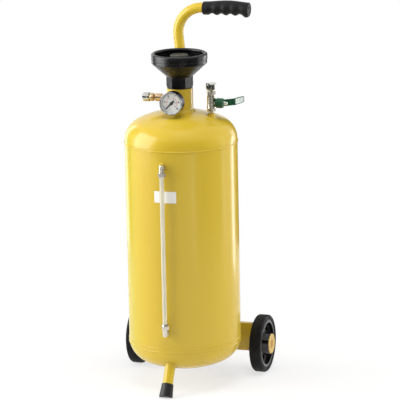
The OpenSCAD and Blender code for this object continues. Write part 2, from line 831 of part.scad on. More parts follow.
module axle_rings() {
    gap_w = 5;
    color(steel) at_tank() for (side = [-1, 1]) wheel_place(side)
        translate([hub_out + washer_t + face_gap, 0, 0]) rotate([0, 90, 0]) difference() {
            ring(axle_d / 2 + 4, axle_d / 2 - 1.2, ring_t);
            translate([0, -gap_w / 2, -1]) cube([axle_d, gap_w, ring_t + 2]);
        }
}

// ---- Axle bracket ----

// An upright plate across X that carries the stub axle, rounded behind the axle
module bracket_rib() {
    back_r = axle_d / 2 + 8;
    rotate([90, 0, 90]) linear_extrude(bracket_t) difference() {
        union() {
            translate([bracket_y, bracket_bottom_z])
                square([bracket_front + 1, bracket_up + bracket_down]);
            translate([axle_y, tyre_r]) circle(r = back_r);
        }
        translate([axle_y, tyre_r]) circle(r = axle_d / 2);
        translate([axle_y + 1, tyre_r + back_r]) square([2 * back_r, bracket_up]);
        translate([bracket_y + bracket_front + 1, bracket_top_z]) circle(r = bracket_front / 2);
    }
}

module axle_bracket() {
    color(paint) at_tank() difference() {
        union() {
            translate([-ear_x, bracket_y, bracket_bottom_z])
                cube([2 * ear_x, bracket_t, bracket_up + bracket_down]);
            translate([-ear_x, bracket_y, bracket_top_z - bracket_t])
                cube([2 * ear_x, bracket_front * 0.7, bracket_t]);
            for (x = [ear_x - bracket_t, ear_x - rib_pitch - bracket_t]) {
                translate([x, 0, 0]) bracket_rib();
                mirror([1, 0, 0]) translate([x, 0, 0]) bracket_rib();
            }
        }
        tank_envelope();
    }
}

// ---- Front leg ----

// Places what is drawn along the leg, with Z = 0 at the middle of the foot cap's end
module on_leg() {
    translate([0, -foot_y, foot_z]) rotate([-leg_lean, 0, 0]) children();
}

module leg_tube() {
    sole = 6;
    leg_l = 170;
    weld_start = (lower_seam_z - flange_h - knuckle_r * 0.82 - foot_z) / cos(leg_lean);
    color(paint) at_tank() difference() {
        on_leg() difference() {
            union() {
                translate([0, 0, sole]) cylinder(r = leg_d / 2, h = leg_l);
                translate([0, 0, weld_start]) cylinder(r1 = leg_d / 2, r2 = leg_d / 2 + 5, h = 16);
            }
            translate([0, 0, sole - 1]) cylinder(r = leg_d / 2 - leg_wall, h = leg_l + 2);
            translate([-leg_d, -leg_d, weld_start + 16]) cube([2 * leg_d, 2 * leg_d, leg_l]);
        }
        tank_envelope();
    }
}

module foot_cap() {
    sole = 6;
    mouth_r = leg_d / 2 + foot_wall;
    color(black) at_tank() difference() {
        on_leg() difference() {
            union() {
                cylinder(r1 = foot_r, r2 = mouth_r, h = foot_len - 1);
                translate([0, 0, foot_len - 1]) cylinder(r1 = mouth_r, r2 = mouth_r - 1, h = 1);
            }
            translate([0, 0, sole]) cylinder(r = leg_d / 2, h = foot_len);
        }
        translate([-2 * foot_d, -foot_y - 2 * foot_d, -2 * foot_d])
            cube([4 * foot_d, 4 * foot_d, 2 * foot_d]);
    }
}

// ---- Level indicator ----

// Places what is drawn about the upright tube; the upper fitting is the lower one turned over
module level_ends() {
    translate([0, 0, level_zs[0]]) children();
    translate([0, 0, level_zs[1]]) mirror([0, 0, 1]) children();
}

module level_sockets() {
    color(paint) at_tank() difference() {
        for (z = level_zs) facing_front(tank_r - 4, z) ring(9, level_d / 2 - level_wall, 7);
        cylinder(r = tank_r, h = upper_seam_z + 50, $fn = 360);
    }
}

module level_elbows() {
    branch_y = level_stand - 3;
    foot_l = level_body_r;
    color(nickel) at_tank() level_ends() difference() {
        union() {
            facing_front(tank_r + 3, 0) cylinder(r = level_d / 2, h = branch_y);
            facing_front(tank_r + 3, 0) rotate([0, 0, 30]) hexagon(14, 4, 0.5);
            translate([0, -level_y, -foot_l]) cylinder(r1 = level_body_r - 1.5, r2 = level_body_r, h = 3);
            translate([0, -level_y, -foot_l + 3])
                cylinder(r = level_body_r, h = foot_l - 3 + level_neck);
            translate([0, -level_y, level_neck]) cylinder(r = level_body_r + 0.8, h = 2);
        }
        translate([0, -level_y, -level_d / 2]) cylinder(r = level_d / 2 - level_wall, h = 40);
        translate([0, -level_y, level_neck - 2]) cylinder(r = level_d / 2, h = 40);
        facing_front(tank_r + 2, 0) cylinder(r = level_d / 2 - level_wall - 1, h = branch_y);
    }
}

module level_nuts() {
    color(nickel) at_tank() level_ends() translate([0, -level_y, level_neck + 2]) difference() {
        union() {
            hexagon(19, level_nut_l - 4, 1);
            translate([0, 0, level_nut_l - 4]) cylinder(r1 = 8.6, r2 = 7.6, h = 4);
        }
        translate([0, 0, -1]) cylinder(r = level_d / 2, h = level_nut_l + 2);
    }
}

module level_tube() {
    low_z = level_zs[0] + level_neck - 2;
    color([0.93, 0.93, 0.88, 0.8]) at_tank() translate([0, -level_y, low_z])
        ring(level_d / 2, level_d / 2 - level_wall, level_zs[1] - level_neck + 2 - low_z);
}

// ---- Outlet valve: drawn about Z with the stem's axis along +X at the origin ----

module at_valve() {
    at_tank() translate([valve_x, 0, stem_z]) children();
}

module valve_socket() {
    height = socket_top_z - valve_dome_z;
    color(paint) at_tank() difference() {
        translate([valve_x, 0, socket_top_z]) mirror([0, 0, 1]) {
            cylinder(r = 8.5, h = height + 8);
            translate([0, 0, 4]) cylinder(r1 = 8.5, r2 = 12, h = height);
        }
        translate([0, 0, crown_centre_z]) sphere(r = crown_r, $fn = 360);
        translate([valve_x, 0, socket_top_z - 6]) cylinder(r = valve_thread_r, h = 10);
        translate([valve_x, 0, valve_dome_z - 20]) cylinder(r = dip_d / 2, h = 60);
    }
}

module dip_tube() {
    floor_z = floor_crown_z + crown_r - sqrt(pow(crown_r - tank_wall, 2) - valve_x * valve_x);
    top_z = socket_top_z - 6;
    color(steel) at_tank() translate([valve_x, 0, floor_z + dip_gap])
        ring(dip_d / 2, dip_d / 2 - 1, top_z - floor_z - dip_gap);
}

module valve_body() {
    base = valve_base_z - stem_z;
    joint = valve_joint_z - stem_z;
    color(nickel) at_valve() difference() {
        union() {
            translate([0, 0, socket_top_z - 6 - stem_z]) cylinder(r = valve_thread_r, h = 7 - base - 16);
            translate([0, 0, base]) hexagon(22, 8, 1);
            translate([0, 0, base + 7]) cylinder(r = 11.8, h = joint - base - 7);
            rotate([0, 90, 0]) cylinder(r = 7.5, h = boss_out - 5);
            rotate([0, 90, 0]) cylinder(r = 6, h = boss_out);
        }
        translate([0, 0, -40]) cylinder(r = valve_bore_d / 2, h = 80);
        translate([0, 0, -10]) cylinder(r = chamber_r, h = joint + 20);
        rotate([0, 90, 0]) cylinder(r = stem_d / 2 + running, h = 40);
        translate([boss_out - 6, 0, 0]) rotate([0, 90, 0]) cylinder(r = stem_d / 2 + 1.2, h = 20);
    }
}

module valve_seats() {
    seat_l = 5;
    color("white") at_valve() for (turned = [0, 1]) mirror([0, 0, turned]) difference() {
        translate([0, 0, -10]) ring(chamber_r, valve_bore_d / 2, seat_l);
        sphere(r = ball_d / 2 + running);
    }
}

module valve_end() {
    joint = valve_joint_z - stem_z;
    top = valve_top_z - stem_z;
    color(nickel) at_valve() difference() {
        union() {
            translate([0, 0, 10]) cylinder(r = chamber_r, h = joint - 9);
            translate([0, 0, joint]) cylinder(r = 11, h = top - joint - 8);
            translate([0, 0, top - 10]) hexagon(21.5, 10, 1);
        }
        translate([0, 0, -40]) cylinder(r = valve_bore_d / 2, h = 100);
    }
}

module valve_gland() {
    color(brass) at_valve() translate([boss_out - 6, 0, 0]) rotate([0, 90, 0])
        ring(stem_d / 2 + 1.2, stem_d / 2 + running, 5.5);
}

module valve_ball() {
    color(steel) at_valve() difference() {
        sphere(r = ball_d / 2);
        rotate([90, 0, 0]) cylinder(r = valve_bore_d / 2 - 0.4, h = 2 * ball_d, center = true);
        translate([ball_d / 2 - 2, -stem_d / 2, -1.5]) cube([4, stem_d, 3]);
    }
}

module valve_stem() {
    tang_x = ball_d / 2 - 2;
    color(steel) at_valve() {
        intersection() {
            translate([tang_x, -stem_d / 2, -1.5]) cube([4, stem_d, 3]);
            translate([tang_x, 0, 0]) rotate([0, 90, 0]) cylinder(r = stem_d / 2, h = 10);
        }
        translate([ball_d / 2 + 0.2, 0, 0]) rotate([0, 90, 0])
            cylinder(r = stem_d / 2, h = stem_len - ball_d / 2 - 0.2);
    }
}

// Centre line of the lever's arm, as [out along the stem, back along the arm]
arm_route = [
    [hub_x + hub_l - 4, 4], [hub_x + hub_l + 22, 26],
    [hub_x + hub_l + 27, 26 + 0.45 * (lever_reach - 26)],
    [hub_x + hub_l + 36, lever_reach - 3]
];

// Direction across the route at one of its points, long enough to keep the strip's thickness
function across(path, i) =
    let (
        a = path[max(i - 1, 0)], b = path[i], c = path[min(i + 1, len(path) - 1)],
        u = i == 0 ? (c - b) / norm(c - b) : (b - a) / norm(b - a),
        v = i == len(path) - 1 ? u : (c - b) / norm(c - b),
        m = [-u[1] - v[1], u[0] + v[0]]
    )
    2 * m / (m * m);

module strip(path, t) {
    last = len(path) - 1;
    polygon(concat(
        [for (i = [0 : last]) path[i] + across(path, i) * t / 2],
        [for (i = [last : -1 : 0]) path[i] - across(path, i) * t / 2]
    ));
}

module lever_arm() {
    end_r = 5;
    low_side = lever_w / 2 - 2.5;
    panel_l = 20;
    panel_at = arm_route[0] + (arm_route[1] - arm_route[0]) * 0.28;
    panel_turn = atan2(arm_route[1][1] - arm_route[0][1], arm_route[1][0] - arm_route[0][0]);
    difference() {
        intersection() {
            translate([0, 0, -lever_w / 2]) linear_extrude(lever_w) strip(arm_route, lever_t);
            rotate([0, 90, 0]) linear_extrude(200, center = true) union() {
                polygon([
                    [-lever_w / 2, -5], [lever_w / 2, -5], [lever_w / 2, arm_route[2][1]],
                    [low_side, lever_reach - end_r], [-lever_w / 2, lever_reach - end_r]
                ]);
                translate([-lever_w / 2 + end_r, 0]) square([low_side + lever_w / 2 - 2 * end_r, lever_reach]);
                for (z = [-lever_w / 2 + end_r, low_side - end_r])
                    translate([z, lever_reach - end_r]) circle(r = end_r);
            }
        }
        translate(concat(panel_at, 0)) rotate([0, 0, panel_turn])
            translate([0, -lever_t / 2 - 1, -lever_w / 2 + 2.5]) cube([panel_l, 2.2, lever_w - 5]);
    }
}

module valve_lever() {
    hub_r = lever_hub_af / 2 / cos(22.5);
    color("#1d6b45") at_valve() {
        translate([hub_x, 0, 0]) rotate([0, 90, 0]) difference() {
            intersection() {
                rotate([0, 0, 22.5]) cylinder(r = hub_r, h = hub_l, $fn = 8);
                union() {
                    cylinder(r1 = hub_r - 3, r2 = hub_r + 1, h = 4);
                    translate([0, 0, 4]) cylinder(r = hub_r + 1, h = hub_l - 8);
                    translate([0, 0, hub_l - 4]) cylinder(r1 = hub_r + 1, r2 = hub_r - 3, h = 4);
                }
            }
            translate([0, 0, -1]) cylinder(r = stem_d / 2, h = hub_l + 2);
            translate([0, 0, -1]) cylinder(r = 8.5, h = 6);
        }
        difference() {
            lever_arm();
            translate([hub_x, 0, 0]) rotate([0, 90, 0]) cylinder(r = 5.2, h = stem_len);
        }
    }
}

module lever_nut() {
    nut_l = 4;
    color(steel) at_valve() translate([hub_x + hub_l, 0, 0]) rotate([0, 90, 0]) difference() {
        union() {
            hexagon(9, nut_l, 0.5);
            translate([0, 0, nut_l]) cylinder(r1 = 4.3, r2 = 3.2, h = stem_len - hub_x - hub_l - nut_l + 2);
        }
        translate([0, 0, -1]) cylinder(r = stem_d / 2, h = stem_len - hub_x - hub_l + 1);
    }
}

module outlet_elbow() {
    body_r = 14;
    top = elbow_z - stem_z;
    color(nickel) at_valve() difference() {
        union() {
            translate([0, 0, valve_top_z - stem_z]) cylinder(r = 5.2, h = 5);
            translate([0, 0, top]) cylinder(r1 = body_r - 2, r2 = body_r, h = 2);
            translate([0, 0, top + 2]) cylinder(r = body_r, h = elbow_h - 4);
            translate([0, 0, top + elbow_h - 2]) cylinder(r1 = body_r, r2 = body_r - 2, h = 2);
            translate([0, 0, top + elbow_h / 2]) rotate([90, 0, 0]) cylinder(r = 7.2, h = body_r + 2);
        }
        translate([0, 0, valve_top_z - stem_z - 1]) cylinder(r = 3, h = 4 + elbow_h / 2);
        translate([0, 0, top + elbow_h / 2]) rotate([90, 0, 0]) cylinder(r = 3, h = body_r);
        translate([0, -body_r + 7, top + elbow_h / 2]) rotate([90, 0, 0]) cylinder(r = port_d / 2, h = 12);
    }
}

// ---- Air inlet: drawn along +Z, which points to the left of the cart ----

module at_inlet(x) {
    at_tank() facing_left(x, side_z) children();
}

module air_nipple() {
    color(brass) at_inlet(neck_r) difference() {
        union() {
            translate([0, 0, -3]) cylinder(r = 5, h = check_x - neck_r + 7.5);
            translate([0, 0, 5]) hexagon(17, check_x - neck_r - 5, 0.8);
        }
        translate([0, 0, -4]) cylinder(r = 3, h = 60);
    }
}

module check_body() {
    body_r = check_d / 2;
    color(brass) at_inlet(check_x) difference() {
        union() {
            cylinder(r1 = body_r - 2, r2 = body_r, h = 2);
            translate([0, 0, 2]) cylinder(r = body_r, h = check_l - 4);
            translate([0, 0, check_l - 2]) cylinder(r1 = body_r, r2 = body_r - 2, h = 2);
            translate([0, 0, check_l - 1]) cylinder(r = 5, h = 9);
        }
        translate([0, 0, -1]) cylinder(r = 5, h = 5.5);
        translate([0, 0, 4]) cylinder(r = poppet_r + running, h = check_l - 8);
        translate([0, 0, -1]) cylinder(r = 2.4, h = 60);
    }
}

module check_poppet() {
    top = check_l - 4;
    color(brass) at_inlet(check_x) translate([0, 0, top - 7]) difference() {
        cylinder(r = poppet_r, h = 7 - 0.05);
        translate([0, 0, -1]) cylinder(r = 2, h = 5);
    }
}

module coupling_body() {
    collar_l = 9;
    tube_r = sleeve_d / 2 - 2.6;
    color(brass) at_inlet(coupling_x) difference() {
        union() {
            cylinder(r1 = 9.8, r2 = 10.8, h = 1);
            translate([0, 0, 1]) cylinder(r = 10.8, h = collar_l - 3);
            translate([0, 0, collar_l - 2]) cylinder(r1 = 10.8, r2 = 9.9, h = 2);
            cylinder(r = tube_r, h = coupling_l - 4.5);
        }
        translate([0, 0, -1]) cylinder(r = 5, h = 6);
        translate([0, 0, -1]) cylinder(r = 3, h = 50);
        translate([0, 0, coupling_l - 18]) cylinder(r = plug_socket_d / 2, h = 20);
    }
}

// The sleeve is drawn back towards the collar to let an air plug go
module coupling_sleeve() {
    sleeve_r = sleeve_d / 2;
    start = 9 + sleeve_travel + face_gap;
    color(nickel) at_inlet(coupling_x) difference() {
        union() {
            translate([0, 0, start]) cylinder(r1 = sleeve_r - 1, r2 = sleeve_r, h = 1);
            translate([0, 0, start + 1]) cylinder(r = sleeve_r, h = coupling_l - start - 2.5);
            translate([0, 0, coupling_l - 1.5]) cylinder(r1 = sleeve_r, r2 = sleeve_r - 1.5, h = 1.5);
        }
        cylinder(r = sleeve_r - 2.6 + running, h = coupling_l - 1.8);
        cylinder(r = plug_socket_d / 2 + 1.6, h = coupling_l + 2);
        for (z = [0, 2, 4]) translate([0, 0, start + 3 + z]) difference() {
            cylinder(r = sleeve_r + 1, h = 1);
            translate([0, 0, -1]) cylinder(r = sleeve_r - 0.5, h = 3);
        }
    }
}

// ---- Pressure gauge: drawn along +Z, which points to the front of the cart ----

module at_gauge(y) {
    at_tank() facing_front(y, side_z) children();
}

module gauge_stem() {
    color(brass) at_gauge(neck_r) difference() {
        union() {
            translate([0, 0, -3]) cylinder(r = 5, h = gauge_back - neck_r + 7);
            translate([0, 0, 3.5]) hexagon(14, gauge_back - neck_r - 3.5, 0.6);
        }
        translate([0, 0, -4]) cylinder(r = 2, h = gauge_back - neck_r + 3);
    }
}

module gauge_case() {
    rim_l = gauge_depth - bezel_lip;
    color(black) at_gauge(gauge_back) difference() {
        union() {
            cylinder(r1 = gauge_r - 2, r2 = gauge_r, h = 2);
            translate([0, 0, 2]) cylinder(r = gauge_r, h = rim_l - 2);
        }
        translate([0, 0, 1.2]) cylinder(r = gauge_r - 1.2, h = rim_l);
        translate([0, 0, -1]) cylinder(r = 5, h = 4);
    }
}

// The movement: a plate on the stem that carries the curved pressure tube and the arbor's bush
module gauge_movement() {
    color(brass) at_gauge(gauge_back) {
        difference() {
            union() {
                translate([0, 0, 4]) cylinder(r = 6, h = 2);
                translate([-5, -6, 4]) cube([10, 22, 2]);
                translate([0, 0, 6]) cylinder(r = 4, h = 8);
            }
            translate([0, 0, 8]) cylinder(r = 1 + running, h = 10);
        }
        translate([0, 0, 9]) rotate([0, 0, 88]) rotate_extrude(angle = 262)
            translate([18, 0]) square([3, 6], center = true);
        translate([-3, 13, 6]) cube([6, 7, 3.5]);
    }
}

module gauge_dial() {
    color("white") at_gauge(dial_y) difference() {
        cylinder(r = gauge_r - 1.2, h = 0.8);
        translate([0, 0, -1]) cylinder(r = 1.6, h = 3);
    }
}

// Straight down is -Y here, and the pointer rests turned to the left of it
module gauge_pointer() {
    tip_l = 24;
    tail_l = 9.5;
    color(black) at_gauge(pointer_y) rotate([0, 0, -90 - pointer_rest]) {
        translate([0, 0, dial_y - pointer_y - 6]) cylinder(r = 1, h = pointer_y - dial_y + 6);
        cylinder(r = 4, h = 1.4);
        linear_extrude(0.8) polygon([
            [-tail_l, -2.6], [-tail_l, 2.6], [0, 2.2], [tip_l, 0.45], [tip_l, -0.45], [0, -2.2]
        ]);
    }
}

module gauge_lens() {
    color([0.9, 0.95, 0.95, 0.3]) at_gauge(gauge_front - bezel_lip - 2)
        cylinder(r = gauge_r - 1.2, h = 2);
}

// A thin steel ring that is pressed over the case's front edge and holds the lens
module gauge_bezel() {
    over = 1;
    color(steel) at_gauge(gauge_front - bezel_lip - over) difference() {
        union() {
            cylinder(r = gauge_r + 0.6, h = over + bezel_lip - 1);
            translate([0, 0, over + bezel_lip - 1]) cylinder(r1 = gauge_r + 0.6, r2 = gauge_r - 0.4, h = 1);
        }
        translate([0, 0, -1]) cylinder(r = gauge_r, h = over + 1);
        translate([0, 0, over - 0.5]) cylinder(r = gauge_r - 2.2, h = 1.5);
        translate([0, 0, over + 1]) cylinder(r1 = gauge_r - 2.2, r2 = gauge_r - 1.2, h = bezel_lip);
    }
}

tank_shell();
top_head();
bottom_head();
filler_neck();
gauge_socket();
air_socket();
valve_socket();
level_sockets();
dip_tube();
leg_tube();
foot_cap();
axle_bracket();
axle_stubs();
axle_washers();
axle_rings();
handle_cradles();
handle_clamps();
clamp_bolts();
clamp_nuts();
handle_tube();
hand_grip();
funnel();
funnel_gasket();
plug_oring();
filler_plug();
level_elbows();
level_nuts();
level_tube();
valve_body();
valve_seats();
valve_end();
valve_gland();
valve_ball();
valve_stem();
valve_lever();
lever_nut();
outlet_elbow();
air_nipple();
check_body();
check_poppet();
coupling_body();
coupling_sleeve();
gauge_stem();
gauge_case();
gauge_movement();
gauge_dial();
gauge_pointer();
gauge_lens();
gauge_bezel();
right_tyre();
right_rim();
right_bush();
right_cap();
left_tyre();
left_rim();
left_bush();
left_cap();
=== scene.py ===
"""Finishes, small parts and studio for a wheeled sprayer cart.

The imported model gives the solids. This add-on paints them, adds what is too
fine for them (welds, threads, the dial's print, the grip's skin) and sets up
the studio. Lengths are in metres, +Z is up and the front faces -Y.
"""

import json
from math import cos, pi, radians, sin, sqrt

import bmesh
import bpy
from bpy.props import FloatProperty, FloatVectorProperty, PointerProperty
from mathutils import Matrix, Vector
from mathutils.bvhtree import BVHTree

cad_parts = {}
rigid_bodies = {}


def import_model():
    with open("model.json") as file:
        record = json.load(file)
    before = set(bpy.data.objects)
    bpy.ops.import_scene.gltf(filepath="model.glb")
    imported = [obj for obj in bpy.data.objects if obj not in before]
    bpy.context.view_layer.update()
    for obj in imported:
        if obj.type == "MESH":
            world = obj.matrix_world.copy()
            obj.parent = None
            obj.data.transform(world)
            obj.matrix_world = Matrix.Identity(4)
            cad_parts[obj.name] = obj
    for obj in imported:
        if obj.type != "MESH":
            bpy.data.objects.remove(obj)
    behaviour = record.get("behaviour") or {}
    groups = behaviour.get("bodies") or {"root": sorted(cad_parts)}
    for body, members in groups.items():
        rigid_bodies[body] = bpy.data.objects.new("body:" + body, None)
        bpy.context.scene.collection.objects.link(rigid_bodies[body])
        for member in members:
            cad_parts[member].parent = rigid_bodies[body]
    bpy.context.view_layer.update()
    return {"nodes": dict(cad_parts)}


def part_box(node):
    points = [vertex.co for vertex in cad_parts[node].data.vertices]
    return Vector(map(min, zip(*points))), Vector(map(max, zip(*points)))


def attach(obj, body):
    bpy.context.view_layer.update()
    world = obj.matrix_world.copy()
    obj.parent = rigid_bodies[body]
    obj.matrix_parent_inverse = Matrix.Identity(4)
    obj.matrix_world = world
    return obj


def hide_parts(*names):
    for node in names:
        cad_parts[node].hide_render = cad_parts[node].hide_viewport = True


bl_info = {
    "name": "Wheeled sprayer cart",
    "version": (1, 0, 0),
    "blender": (4, 5, 0),
    "location": "View3D > Sidebar > Sprayer",
    "description": "Finishes, welds, threads, dial, grip and studio of a sprayer cart",
    "category": "Object",
}

for leftover in list(bpy.data.objects):
    bpy.data.objects.remove(leftover)
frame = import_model()
nodes = frame["nodes"]

MM = 0.001
X, Y, Z = Vector((1, 0, 0)), Vector((0, 1, 0)), Vector((0, 0, 1))


# ---- Places on the cart ----

def box_middle(node, axis):
    low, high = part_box(node)
    return (low[axis] + high[axis]) / 2


def box_reach(node, axis):
    low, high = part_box(node)
    return (high[axis] - low[axis]) / 2


TANK_R = box_reach("tank_shell", 0)
AXIS_Y = box_middle("tank_shell", 1)  # the tank's upright axis
CROWN_Z = 744.425 * MM  # top of the upper head
UPPER_SEAM_Z, LOWER_SEAM_Z = 661 * MM, 126.5 * MM
SIDE_Z = box_middle("check_body", 2)  # height of the gauge and the air inlet
VALVE_X, STEM_Z = 86.5 * MM, box_middle("valve_stem", 2)
DIAL_Y = 67.5 * MM  # the dial's plate, in front of the axis
DIAL_FACE = 0.8 * MM  # its printed face, in front of the plate
TUBE_R = box_reach("handle_tube", 1)
HANDLE_Y = box_middle("handle_tube", 1) - AXIS_Y
HANDLE_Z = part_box("handle_tube")[1][2] - TUBE_R


def on_axis(x, y, z):
    """A point given from the tank's axis."""
    return Vector((x, y + AXIS_Y, z))


# ---- Sizes and colours that a user would change ----

def colour_property(name, about, default):
    return FloatVectorProperty(
        name=name, description=about, default=default, size=3, min=0, max=1, subtype="COLOR"
    )


def length_property(name, about, default, low, high):
    """A length, with its default and limits in millimetres."""
    return FloatProperty(
        name=name, description=about, default=default * MM, min=low * MM, max=high * MM,
        unit="LENGTH",
    )


class SprayerColours(bpy.types.PropertyGroup):
    """Base colours of the cart's finishes."""

    tank: colour_property("Tank enamel", "Enamel of the tank, handle and leg", (0.60, 0.42, 0.034))
    cap: colour_property("Hub cap", "Moulded colour of the hub caps", (0.47, 0.30, 0.04))
    lever: colour_property("Lever coat", "Coat of the valve's lever", (0.008, 0.062, 0.026))
    funnel: colour_property("Funnel", "Moulded colour of the funnel", (0.004, 0.004, 0.0045))
    plug: colour_property("Plug", "Moulded colour of the filler plug", (0.024, 0.025, 0.018))
    tyre: colour_property("Tyre", "Rubber of the tyres", (0.005, 0.005, 0.0054))
    grip: colour_property("Grip", "Rubber of the grip", (0.005, 0.005, 0.0054))
    label: colour_property("Label", "Film of the bare label", (0.84, 0.83, 0.79))


class SprayerSizes(bpy.types.PropertyGroup):
    """Sizes of the small parts and reliefs."""

    weld: length_property("Weld bead", "Radius of a weld bead", 1.3, 0.6, 2.5)
    ripple: length_property("Weld ripple", "Distance between two ripples of a weld", 2.4, 1.2, 5)
    peel: length_property("Orange peel", "Depth of the enamel's orange peel", 0.025, 0, 0.3)
    edge: length_property("Edge radius", "Radius that worn edges are shaded with", 0.5, 0.1, 2)
    label_w: length_property("Label width", "Width of the bare label, along the wall", 60, 20, 120)
    label_h: length_property("Label height", "Height of the bare label", 31, 10, 80)


# ---- Materials ----

class Graph:
    """The emptied node tree of a material or a world."""

    def __init__(self, block):
        block.use_nodes = True
        self.tree = block.node_tree
        self.tree.nodes.clear()

    def node(self, kind, **settings):
        made = self.tree.nodes.new(kind)
        for key, value in settings.items():
            setattr(made, key, value)
        return made

    def put(self, socket, value):
        """Links an output to a socket, or sets the socket's own value."""
        if hasattr(value, "is_output"):
            self.tree.links.new(value, socket)
        elif value is not None:
            socket.default_value = (*value, 1) if socket.type == "RGBA" else value

    def fed(self, kind, *values, **settings):
        """First output of a new node that takes these values on its first inputs."""
        made = self.node(kind, **settings)
        for socket, value in zip(made.inputs, values):
            self.put(socket, value)
        return made.outputs[0]

    def show(self, shade, output="ShaderNodeOutputMaterial"):
        self.put(self.node(output).inputs["Surface"], shade)

    def math(self, operation, a, b=None):
        return self.fed("ShaderNodeMath", a, b, operation=operation)

    def product(self, a, b):
        return self.math("MULTIPLY", a, b)

    def spread(self, value, low, high, start=0.0, end=1.0):
        """The value with low to high mapped smoothly to start to end."""
        limits = low, high, start, end
        return self.fed("ShaderNodeMapRange", value, *limits, interpolation_type="SMOOTHSTEP")

    def seen_rays(self):
        """1 for camera, glossy and transmission rays, which may see the background."""
        rays = self.node("ShaderNodeLightPath").outputs
        seen = self.math("MAXIMUM", rays["Is Camera Ray"], rays["Is Glossy Ray"])
        return self.math("MAXIMUM", seen, rays["Is Transmission Ray"])


class Finish(Graph):
    """A principled material, built up in layers of colour, gloss and relief."""

    BEVEL_SAMPLES = 4
    MIX_SHARE, MIX_FIRST, MIX_SECOND, MIX_OUT = 0, 6, 7, 2  # a colour mix's sockets

    def __init__(self, name, colour, roughness, edge=0.0, **fixed):
        self.material = bpy.data.materials.new(name)
        super().__init__(self.material)
        self.shader = self.node("ShaderNodeBsdfPrincipled")
        self.show(self.shader.outputs[0])
        self.place = self.node("ShaderNodeTexCoord").outputs["Object"]
        self.colour, self.rough = colour, None
        self.normal = self.bevel(edge) if edge else None
        self.shader.inputs["Roughness"].default_value = roughness
        for key, value in fixed.items():
            self.put(self.shader.inputs[key.replace("_", " ")], value)

    def bevel(self, radius):
        """The surface's normal as if its edges were rounded."""
        return self.fed("ShaderNodeBevel", radius, samples=self.BEVEL_SAMPLES)

    def face_way(self):
        return self.node("ShaderNodeNewGeometry").outputs["Normal"]

    def part(self, axis, vector=None):
        """The share of the place, or of another vector, along an axis."""
        made = self.node("ShaderNodeSeparateXYZ")
        self.put(made.inputs[0], vector or self.place)
        return made.outputs[axis]

    def off_axis(self, first, second):
        """Distance from an axis, of two places across it."""
        squares = self.math("ADD", self.product(first, first), self.product(second, second))
        return self.math("SQRT", squares)

    def stretched(self, x, y, z):
        made = self.node("ShaderNodeMapping")
        self.put(made.inputs["Vector"], self.place)
        made.inputs["Scale"].default_value = (x, y, z)
        return made.outputs[0]

    def noise(self, scale, detail=3.0, rough=0.55, at=None):
        fourth = None  # the noise's fourth dimension, unused
        return self.fed("ShaderNodeTexNoise", at or self.place, fourth, scale, detail, rough)

    def cells(self, scale):
        made = self.node("ShaderNodeTexVoronoi")
        self.put(made.inputs["Vector"], self.place)
        made.inputs["Scale"].default_value = scale
        return made.outputs["Distance"]

    def patches(self, scale, low, high, detail=3, rough=0.55):
        """Patches of noise with soft borders, 0 to 1."""
        return self.spread(self.noise(scale, detail, rough), low, high)

    def worn_edge(self, radius, low=0.004, high=0.06):
        """1 on convex and concave edges, 0 on flats."""
        dot = self.node("ShaderNodeVectorMath", operation="DOT_PRODUCT")
        self.put(dot.inputs[0], self.bevel(radius))
        self.put(dot.inputs[1], self.face_way())
        return self.spread(self.math("SUBTRACT", 1.0, dot.outputs["Value"]), low, high)

    def tint(self, mask, colour, amount=1.0):
        """Mixes in a colour where the mask is 1."""
        mix = self.node("ShaderNodeMix", data_type="RGBA")
        share = mask if amount == 1.0 else self.product(mask, amount)
        self.put(mix.inputs[self.MIX_SHARE], share)
        self.put(mix.inputs[self.MIX_FIRST], self.colour)
        self.put(mix.inputs[self.MIX_SECOND], colour)
        self.colour = mix.outputs[self.MIX_OUT]

    def gloss(self, value):
        """Roughness from a value; later calls add to it."""
        self.rough = value if self.rough is None else self.math("ADD", self.rough, value)

    def sheen(self, scale, smooth, dull, detail=4, rough=0.55, low=0.3, high=0.7):
        """Roughness that wanders from smooth to dull in patches."""
        self.gloss(self.spread(self.noise(scale, detail, rough), low, high, smooth, dull))

    def relief(self, height, depth, strength):
        bump = self.node("ShaderNodeBump")
        keys = ("Strength", "Distance", "Height", "Normal")
        for key, value in zip(keys, (strength, depth, height, self.normal)):
            self.put(bump.inputs[key], value)
        self.normal = bump.outputs[0]

    def done(self):
        for key, value in (
            ("Base Color", self.colour), ("Roughness", self.rough), ("Normal", self.normal)
        ):
            self.put(self.shader.inputs[key], value)
        return self.material


def scaled(colour, *shares):
    return [c * k for c, k in zip(colour, shares)]


def brighter(colour, share):
    return [min(1, c * share) for c in colour]


def enamel(sizes, colours):
    """Sprayed enamel: orange peel, mottling, a lemon tint painted on the lit -X side, dust low
    down, rubbed edges.
    """
    colour = colours.tank
    f = Finish("tank_enamel", colour, 0.2, edge=sizes.edge, Specular_IOR_Level=0.42)
    f.tint(f.patches(5, 0.3, 0.75, detail=2), scaled(colour, 0.97, 0.96, 0.9), 0.4)
    f.tint(f.patches(55, 0.52, 0.75), scaled(colour, 1.02, 1.03, 1.1), 0.2)
    # Painted light: a lemon tint on faces turned to -X, where the left softbox falls
    f.tint(f.spread(f.part(0, f.face_way()), -0.35, -0.95), scaled(colour, 0.91, 1.08, 1.0))
    rubbed = f.product(f.worn_edge(0.8 * MM, 0.02, 0.10), f.patches(240, 0.42, 0.62))
    f.tint(rubbed, (0.62, 0.47, 0.12), 0.4)
    low = f.spread(f.part(2), 0.30, 0.05)
    dust = f.product(low, f.patches(26, 0.4, 0.75, detail=5, rough=0.65))
    f.tint(dust, (0.46, 0.34, 0.10), 0.16)
    f.sheen(18, 0.19, 0.22, detail=3)
    f.gloss(f.product(dust, 0.10))
    f.relief(f.noise(620, 2, 0.4), sizes.peel, 0.4)
    return f.done()


